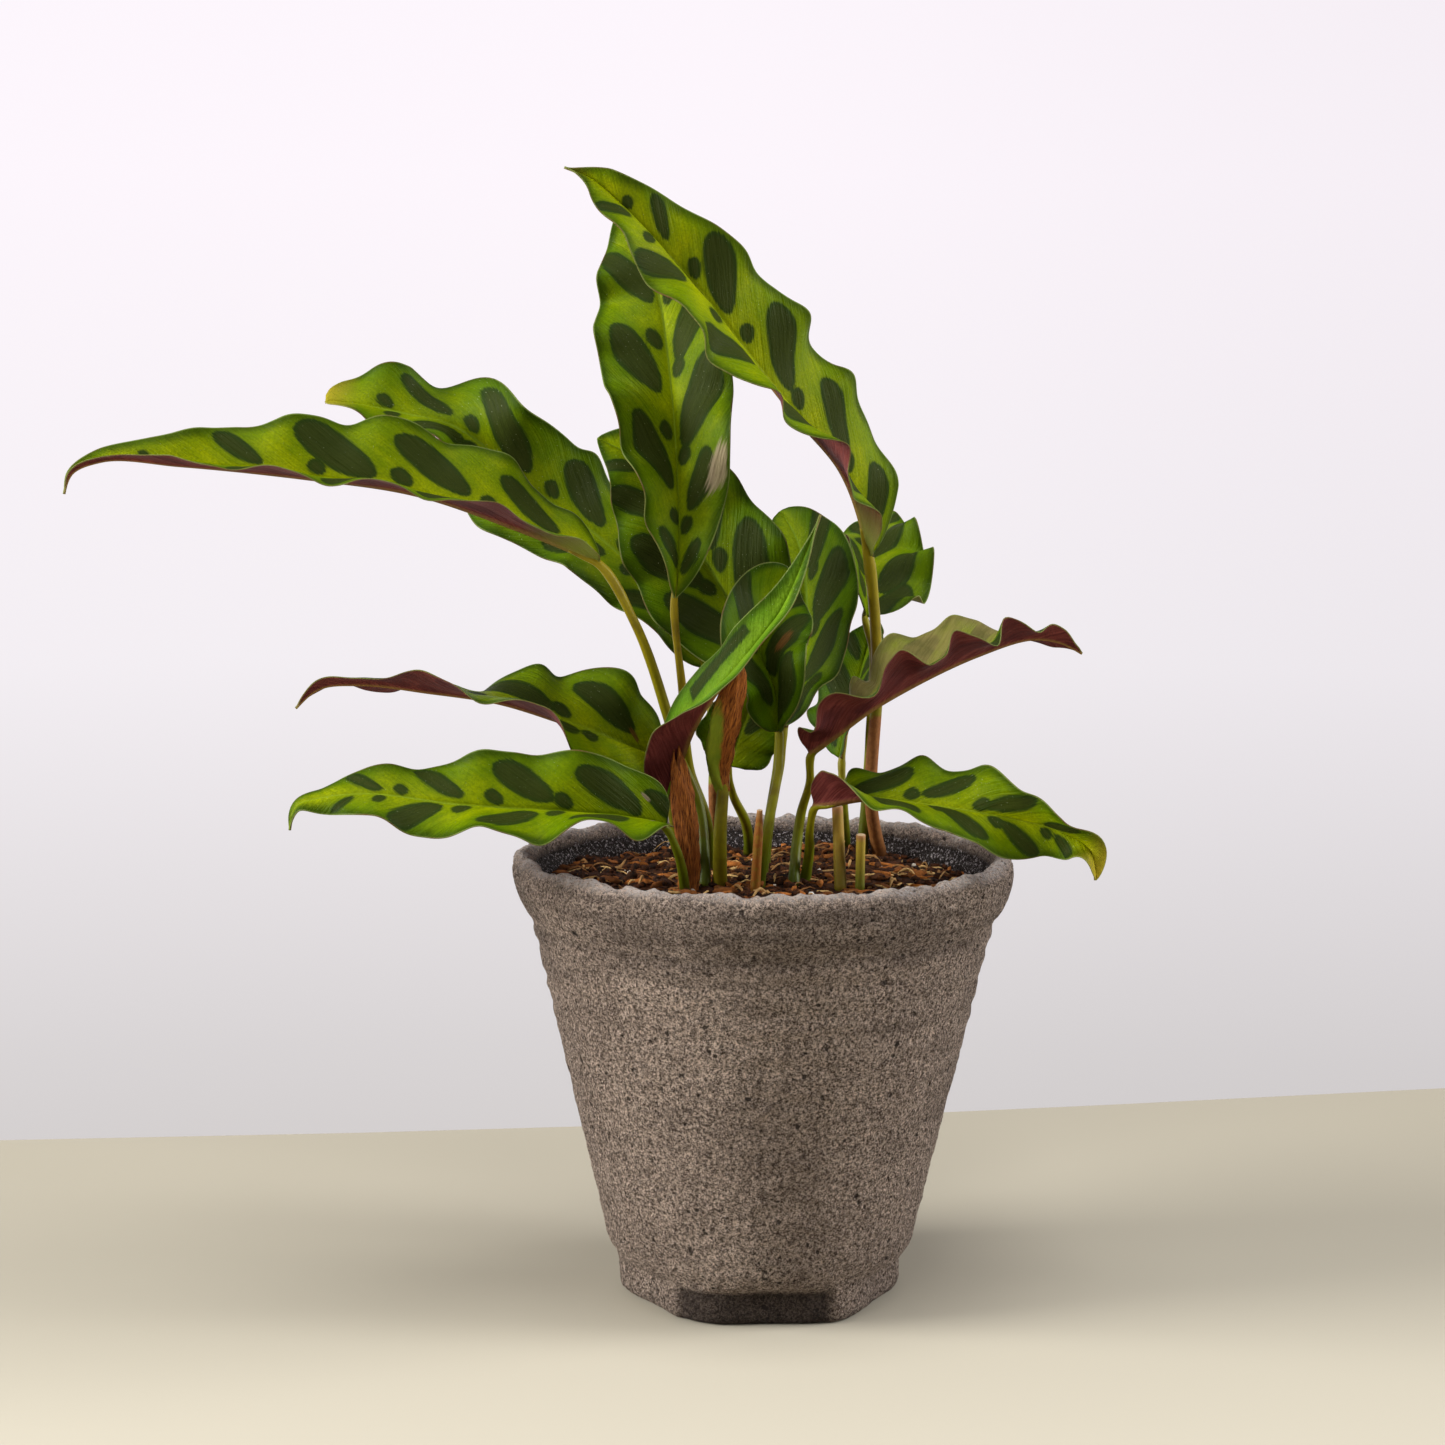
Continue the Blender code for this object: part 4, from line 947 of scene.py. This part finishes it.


def build_pot():
    """The pot's skin from under the foot over the lip to below the soil, felted and uneven."""
    line = smooth_line([(r, 0, z) for r, z in POT_PROFILE], step=0.8)[0]
    for _ in range(3):
        line[1:-1] = (line[:-2] + 2 * line[1:-1] + line[2:]) / 4
    rings = len(line)
    sides = POT_SIDES
    angle = 2 * np.pi * np.arange(sides) / sides
    radius = np.repeat(line[:, 0][:, None], sides, axis=1)
    height = np.repeat(line[:, 2][:, None], sides, axis=1)
    theta = np.repeat(angle[None, :], rings, axis=0)
    past_lip = np.arange(rings)[:, None] > int(np.argmax(line[:, 2]))
    turn = theta + np.pi / 2 - np.radians(FOOT_TURN)
    flat = 0.5 + 0.5 * np.cos(6 * turn)
    foot = np.clip((11.5 - height) / 2.5, 0, 1) * np.clip((radius - 20) / 14, 0, 1)
    radius = radius - FLAT_DEPTH * flat * foot
    front = (theta - 3 * np.pi / 2 + 0.06) / 0.62
    recess = np.clip((1 - np.abs(front)) * 8, 0, 1) * np.clip((9.6 - height) / 0.9, 0, 1)
    radius = radius - 1.1 * recess * np.clip((radius - 28) / 5, 0, 1)
    points = np.stack([radius * np.cos(theta), radius * np.sin(theta), height], axis=-1)
    outward = np.stack([np.cos(theta), np.sin(theta), 0 * theta], axis=-1)
    slope = np.gradient(line, axis=0)
    side_normal = unit(np.stack([slope[:, 2], -slope[:, 0]], axis=-1))
    normal = outward * side_normal[:, 0][:, None, None]
    normal[..., 2] = side_normal[:, 1][:, None]
    sway = value_noise(points, 34.0, 11) * 0.45 + value_noise(points, 14.0, 12) * 0.22
    felt = rough_noise(points, 3.0, 21, 3) * 0.20 + value_noise(points, 1.6, 25) * 0.12
    streak = value_noise(points * np.array([0.2, 0.2, 1.0]), 1.7, 31) * 0.14
    lip_zone = np.exp(-((height - 116.5) / 3.2) ** 2)
    ragged = rough_noise(points, 4.2, 41, 4) * 1.0 * lip_zone
    rings_pressed = 0.22 * np.cos(height * 2 * np.pi / 7.5) * np.clip((height - 60) / 30, 0, 1)
    rings_pressed = rings_pressed * (height < 99) * (~past_lip)
    bottom = np.clip(height / 1.5, 0, 1)
    points = points + normal * ((sway + felt + streak + ragged + rings_pressed) * bottom)[..., None]
    points[..., 2] = np.maximum(points[..., 2], 0.0)
    # Darker at the bottom and in the front recess; painted shade along the groove under the collar.
    dark_foot_and_groove_shade = np.maximum(recess * 1.0, np.clip((4.0 - height) / 4, 0, 1) * 0.55)
    groove_shade = np.exp(-((height - 100.0) / 1.0) ** 2) * 0.35
    # Painted shade inside the rim, from the lip down to the soil.
    inner = past_lip * np.clip((115.0 - height) / 2.0, 0, 1)
    # Lip mask for pale fibre fluff and a painted highlight along the crest and the inner ledge.
    ledge = past_lip * np.exp(-((height - 110.6) / 0.9) ** 2)
    crest = np.exp(-((height - 117.6 - value_noise(points, 6.0, 71) * 0.9) / 1.5) ** 2)
    lip = np.clip(crest * 0.9 + ledge, 0, 1)
    bands = value_noise(points * np.array([0.12, 0.12, 1.0]), 2.6, 61) * 0.6
    bands = bands + value_noise(points * np.array([0.5, 0.5, 1.0]), 9.0, 62) * 0.5
    # Darker horizontal bands, plus painted shade on the flared collar; less of both towards the foot.
    collar_shade = np.clip((height - 101) / 3, 0, 1) * np.clip((115.5 - height) / 2, 0, 1)
    shade = np.clip(0.15 + bands + 0.55 * collar_shade, 0, 1) * np.clip((height - 30) / 40, 0.25, 1)
    shade = np.where(past_lip, 0.0, shade) + 0 * radius
    # Painted shade of one deep hole: a near-black spot, with no dent in the shell.
    hole_shade_at = np.array(HOLE_SHADE_AT)
    hole_shade = np.clip(2.2 - np.linalg.norm((points - hole_shade_at) * np.array([1, 1, 1.6]), axis=-1) / 0.8, 0, 1)
    attributes = {"lip": lip.ravel(), "inner": inner.ravel(), "dark_foot_and_groove_shade": np.maximum(dark_foot_and_groove_shade, groove_shade).ravel(),
                  "hole_shade": hole_shade.ravel(), "shade": shade.ravel()}
    faces = grid_faces(rings, sides, wrap=True)
    u = np.arange(sides) / sides
    run = np.linspace(0, 1, rings)
    start = np.stack([np.repeat(u[None, :], rings - 1, 0), np.repeat(run[:-1, None], sides, 1)], -1)
    corner = np.stack([start, start + [1 / sides, 0], start + [1 / sides, 1 / (rings - 1)],
                       start + [0, 1 / (rings - 1)]], axis=2)
    uv = 0.005 + 0.99 * corner.reshape(-1, 2)
    shell = points.reshape(-1, 3)
    faces = faces.tolist()
    faces.append(list(range(sides))[::-1])
    cap = np.stack([0.5 + 0.001 * np.cos(-angle), 0.5 + 0.001 * np.sin(-angle)], -1)
    uv = np.concatenate([uv, cap])
    piece = make_mesh("pot_shell", shell, faces, attributes, uv, POT_LOOK)
    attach(piece, "root")
    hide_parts("pot")


build_pot()


# ---- soil ------------------------------
CRUMB, CHIP, FIBRE, GRAIN = range(4)


def soil_height(x, y):
    """Level of the soil surface in mm: lumpy, dished at the edge."""
    flat = np.stack([x, y, 0 * x], axis=-1)
    lumps = value_noise(flat, 17.0, 51) * 1.1 + value_noise(flat, 6.0, 52) * 0.8
    fine = value_noise(flat, 2.4, 53) * 0.45 + value_noise(flat, 1.1, 54) * 0.22
    edge = np.clip((np.hypot(x, y) - 50) / 8, 0, 1)
    return SOIL_TOP + 0.2 + lumps + fine - 0.9 * edge


def build_soil():
    """A crumbly surface with loose chips, fibres and grains lying on it."""
    rings = 100
    sides = 240
    r = np.linspace(0.6, 58.0, rings)[:, None]
    angle = (2 * np.pi * np.arange(sides) / sides)[None, :]
    x = r * np.cos(angle)
    y = r * np.sin(angle)
    top = np.stack([x, y, soil_height(x, y)], axis=-1)
    skirt = top[-1] * np.array([0.985, 0.985, 1.0]) - np.array([0, 0, 5.0])
    points = [np.vstack([top.reshape(-1, 3), skirt])]
    faces = grid_faces(rings + 1, sides, wrap=True).tolist()
    faces.append(list(range(sides))[::-1])
    kinds = [np.zeros(len(points[0]))]
    shades = [np.zeros(len(points[0]))]
    start = len(points[0])
    rng = np.random.default_rng(7)
    golden = (1 + 5 ** 0.5) / 2
    ball = unit(np.array([(-1, golden, 0), (1, golden, 0), (-1, -golden, 0), (1, -golden, 0),
                          (0, -1, golden), (0, 1, golden), (0, -1, -golden), (0, 1, -golden),
                          (golden, 0, -1), (golden, 0, 1), (-golden, 0, -1), (-golden, 0, 1)], float))
    ball_faces = [(0, 11, 5), (0, 5, 1), (0, 1, 7), (0, 7, 10), (0, 10, 11), (1, 5, 9), (5, 11, 4),
                  (11, 10, 2), (10, 7, 6), (7, 1, 8), (3, 9, 4), (3, 4, 2), (3, 2, 6), (3, 6, 8),
                  (3, 8, 9), (4, 9, 5), (2, 4, 11), (6, 2, 10), (8, 6, 7), (9, 8, 1)]

    def turned(p):
        """Points turned by any angle about Z and tipped by up to a fifth of one."""
        a, b = rng.uniform(0, 2 * np.pi, 3)[:2]     # draws three, uses two
        rz = np.array([[np.cos(a), -np.sin(a), 0], [np.sin(a), np.cos(a), 0], [0, 0, 1]])
        b = b * 0.2
        rx = np.array([[1, 0, 0], [0, np.cos(b), -np.sin(b)], [0, np.sin(b), np.cos(b)]])
        return p @ rx.T @ rz.T

    for kind, count in ((CRUMB, 1100), (CHIP, 420), (GRAIN, 26)):
        for _ in range(count):
            away = 56.5 * np.sqrt(rng.uniform(0, 1))
            a = rng.uniform(0, 2 * np.pi)
            px = away * np.cos(a)
            py = away * np.sin(a)
            if kind == CRUMB:
                size = rng.uniform(0.4, 1.5) * np.array([1.2, 0.9, 0.7])
            elif kind == CHIP:
                size = rng.uniform(0.6, 2.0) * np.array([2.3, 0.75, 0.4])
            else:
                size = rng.uniform(0.35, 0.8) * np.array([1.1, 1.0, 0.9])
            body = turned(ball * size * (1 + rng.uniform(-0.25, 0.25, (12, 1))))
            z = float(soil_height(np.array([px]), np.array([py]))[0]) + size[2] * 0.35
            points.append(body + np.array([px, py, z]))
            faces.extend([(i + start, j + start, k + start) for i, j, k in ball_faces])
            start += 12
            kinds.append(np.full(12, kind))
            shades.append(np.full(12, rng.uniform(0, 1)))
    for _ in range(340):
        away = 55.0 * np.sqrt(rng.uniform(0, 1))
        a = rng.uniform(0, 2 * np.pi)
        heading = rng.uniform(0, 2 * np.pi)
        bend = rng.uniform(-0.12, 0.12)
        size = rng.uniform(3.0, 11.0)
        steps = np.linspace(0, 1, 7)
        course = heading + bend * 6 * steps
        px = away * np.cos(a) + np.cumsum(np.cos(course)) * size / 7
        py = away * np.sin(a) + np.cumsum(np.sin(course)) * size / 7
        keep = 56.0 / np.maximum(np.hypot(px, py), 56.0)
        px = px * keep
        py = py * keep
        lift = rng.uniform(0.1, 0.9) + rng.uniform(0, 1.6) * np.sin(np.pi * steps) * (rng.uniform() < 0.35)
        route = np.stack([px, py, soil_height(px, py) + lift], axis=-1)
        thin = rng.uniform(0.12, 0.42)
        rings_f = tube(route, thin * np.array([0.6, 1, 1.1, 1, 1, 0.8, 0.35]), sides=5)
        points.append(rings_f.reshape(-1, 3))
        faces.extend((grid_faces(7, 5, wrap=True) + start).tolist())
        faces.append([start + m for m in range(5)][::-1])
        faces.append([start + 30 + m for m in range(5)])
        start += 35
        kinds.append(np.full(35, float(FIBRE)))
        shades.append(np.full(35, rng.uniform(0, 1) ** 1.5))
    piece = make_mesh("soil_surface", np.vstack(points), faces,
                      {"kind": np.concatenate(kinds), "shade": np.concatenate(shades)}, None, SOIL_LOOK)
    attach(piece, "root")
    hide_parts("soil")


build_soil()


# ---- stage: floor, lights, surroundings, camera ------------------------------
# The floor's far edge in metres, left to right; what lies beyond it is the world's gradient.
FLOOR_EDGE = [(-2.2, 0.16), (-0.50, 0.125), (-0.238, 0.138), (-0.126, 0.149), (-0.010, 0.164),
              (0.116, 0.188), (0.237, 0.213), (0.50, 0.262), (2.2, 0.55)]


def build_floor():
    """A plain matt sheet with painted shade: a little darker towards its far edge."""
    k = Look("floor")
    k.out("Base Color", k.mix(k.step(k.part(k.place(), "Y"), -0.45, 0.2), (206, 199, 181), (165, 158, 142)))
    k.out("Roughness", 0.92)
    k.out("Specular IOR Level", 0.02)
    corners = [(-2.2, -3.0, 0.0), (2.2, -3.0, 0.0)] + [(x, y, 0.0) for x, y in FLOOR_EDGE[::-1]]
    mesh = bpy.data.meshes.new("floor")
    mesh.from_pydata(corners, [], [tuple(range(len(corners)))])
    mesh.materials.append(k.material)
    piece = bpy.data.objects.new("floor", mesh)
    bpy.context.scene.collection.objects.link(piece)


def add_area(name, place, size, power, tint):
    """A rectangular lamp aimed at the pot's rim, sizes in metres and power in watts."""
    lamp = bpy.data.lights.new(name, "AREA")
    lamp.shape = "RECTANGLE"
    lamp.size = size[0]
    lamp.size_y = size[1]
    lamp.energy = power
    lamp.color = tint
    piece = bpy.data.objects.new(name, lamp)
    bpy.context.scene.collection.objects.link(piece)
    piece.location = place
    aim = np.array(LAMP_TARGET) - np.array(place)
    piece.rotation_euler = (float(np.arctan2(np.hypot(aim[0], aim[1]), -aim[2])), 0.0,
                            float(np.arctan2(aim[0], -aim[1]) + np.pi) % (2 * np.pi))


def build_world():
    """Pale gradient with height, dimmer behind the camera and a little to the right."""
    world = bpy.data.worlds.new("room")
    bpy.context.scene.world = world
    world.use_nodes = True
    k = Nodes(world.node_tree)
    seen = k.node("TexCoord").outputs["Generated"]
    ramp = k.node("ValToRGB", (k.add(k.part(seen, "Z"), 0.3),))
    while len(ramp.color_ramp.elements) < len(SKY_STEPS):
        ramp.color_ramp.elements.new(1.0)
    for element, (at, tint) in zip(ramp.color_ramp.elements, SKY_STEPS):
        element.position = at
        element.color = (*tint, 1.0)
    ahead = k.step(k.part(seen, "Y"), -0.7, 0.5, 0.30, 1.0)
    aside = k.step(k.part(seen, "X"), -0.05, 0.3, 1.0, 0.93)
    background = k.tree.nodes["Background"]
    k.put(background.inputs[0], k.mix(k.times(ahead, aside), (0, 0, 0), ramp.outputs[0]))
    background.inputs[1].default_value = 1.0


LAMP_TARGET = (0, 0, 0.12)
SKY_STEPS = [(0.0, (0.62, 0.59, 0.58)), (0.066, (0.69, 0.66, 0.665)), (0.20, (0.90, 0.86, 0.895)),
             (0.37, (0.985, 0.925, 0.98)), (0.47, (0.985, 0.925, 0.98)), (0.62, (0.22, 0.22, 0.24))]
build_floor()
add_area("key", (-1.65, -0.4, 0.8), (0.8, 0.9), 50.0, (1.0, 0.99, 0.97))
add_area("fill", (1.6, -0.05, 0.8), (0.8, 1.0), 29.0, (0.98, 0.98, 1.0))
add_area("top", (0.0, -0.4, 1.7), (0.7, 0.7), 16.0, (1.0, 1.0, 1.0))
add_area("front", (-0.5, -2.0, 1.2), (0.8, 0.8), 5.0, (1.0, 0.99, 0.97))
build_world()
bpy.context.scene.view_settings.view_transform = "Standard"

CAMERA_AT = (-0.0106, -0.721, 0.240)
CAMERA_DOWN = 7.03          # degrees below level
CAMERA_ROLL = 0.3
lens = bpy.data.cameras.new("camera")
lens.lens = 69.6
lens.sensor_width = 36.0
camera = bpy.data.objects.new("camera", lens)
bpy.context.scene.collection.objects.link(camera)
camera.location = CAMERA_AT
camera.rotation_mode = "XYZ"
camera.rotation_euler = (np.radians(90 - CAMERA_DOWN), 0.0, 0.0)
camera.rotation_euler.rotate_axis("Z", np.radians(CAMERA_ROLL))
bpy.context.scene.camera = camera
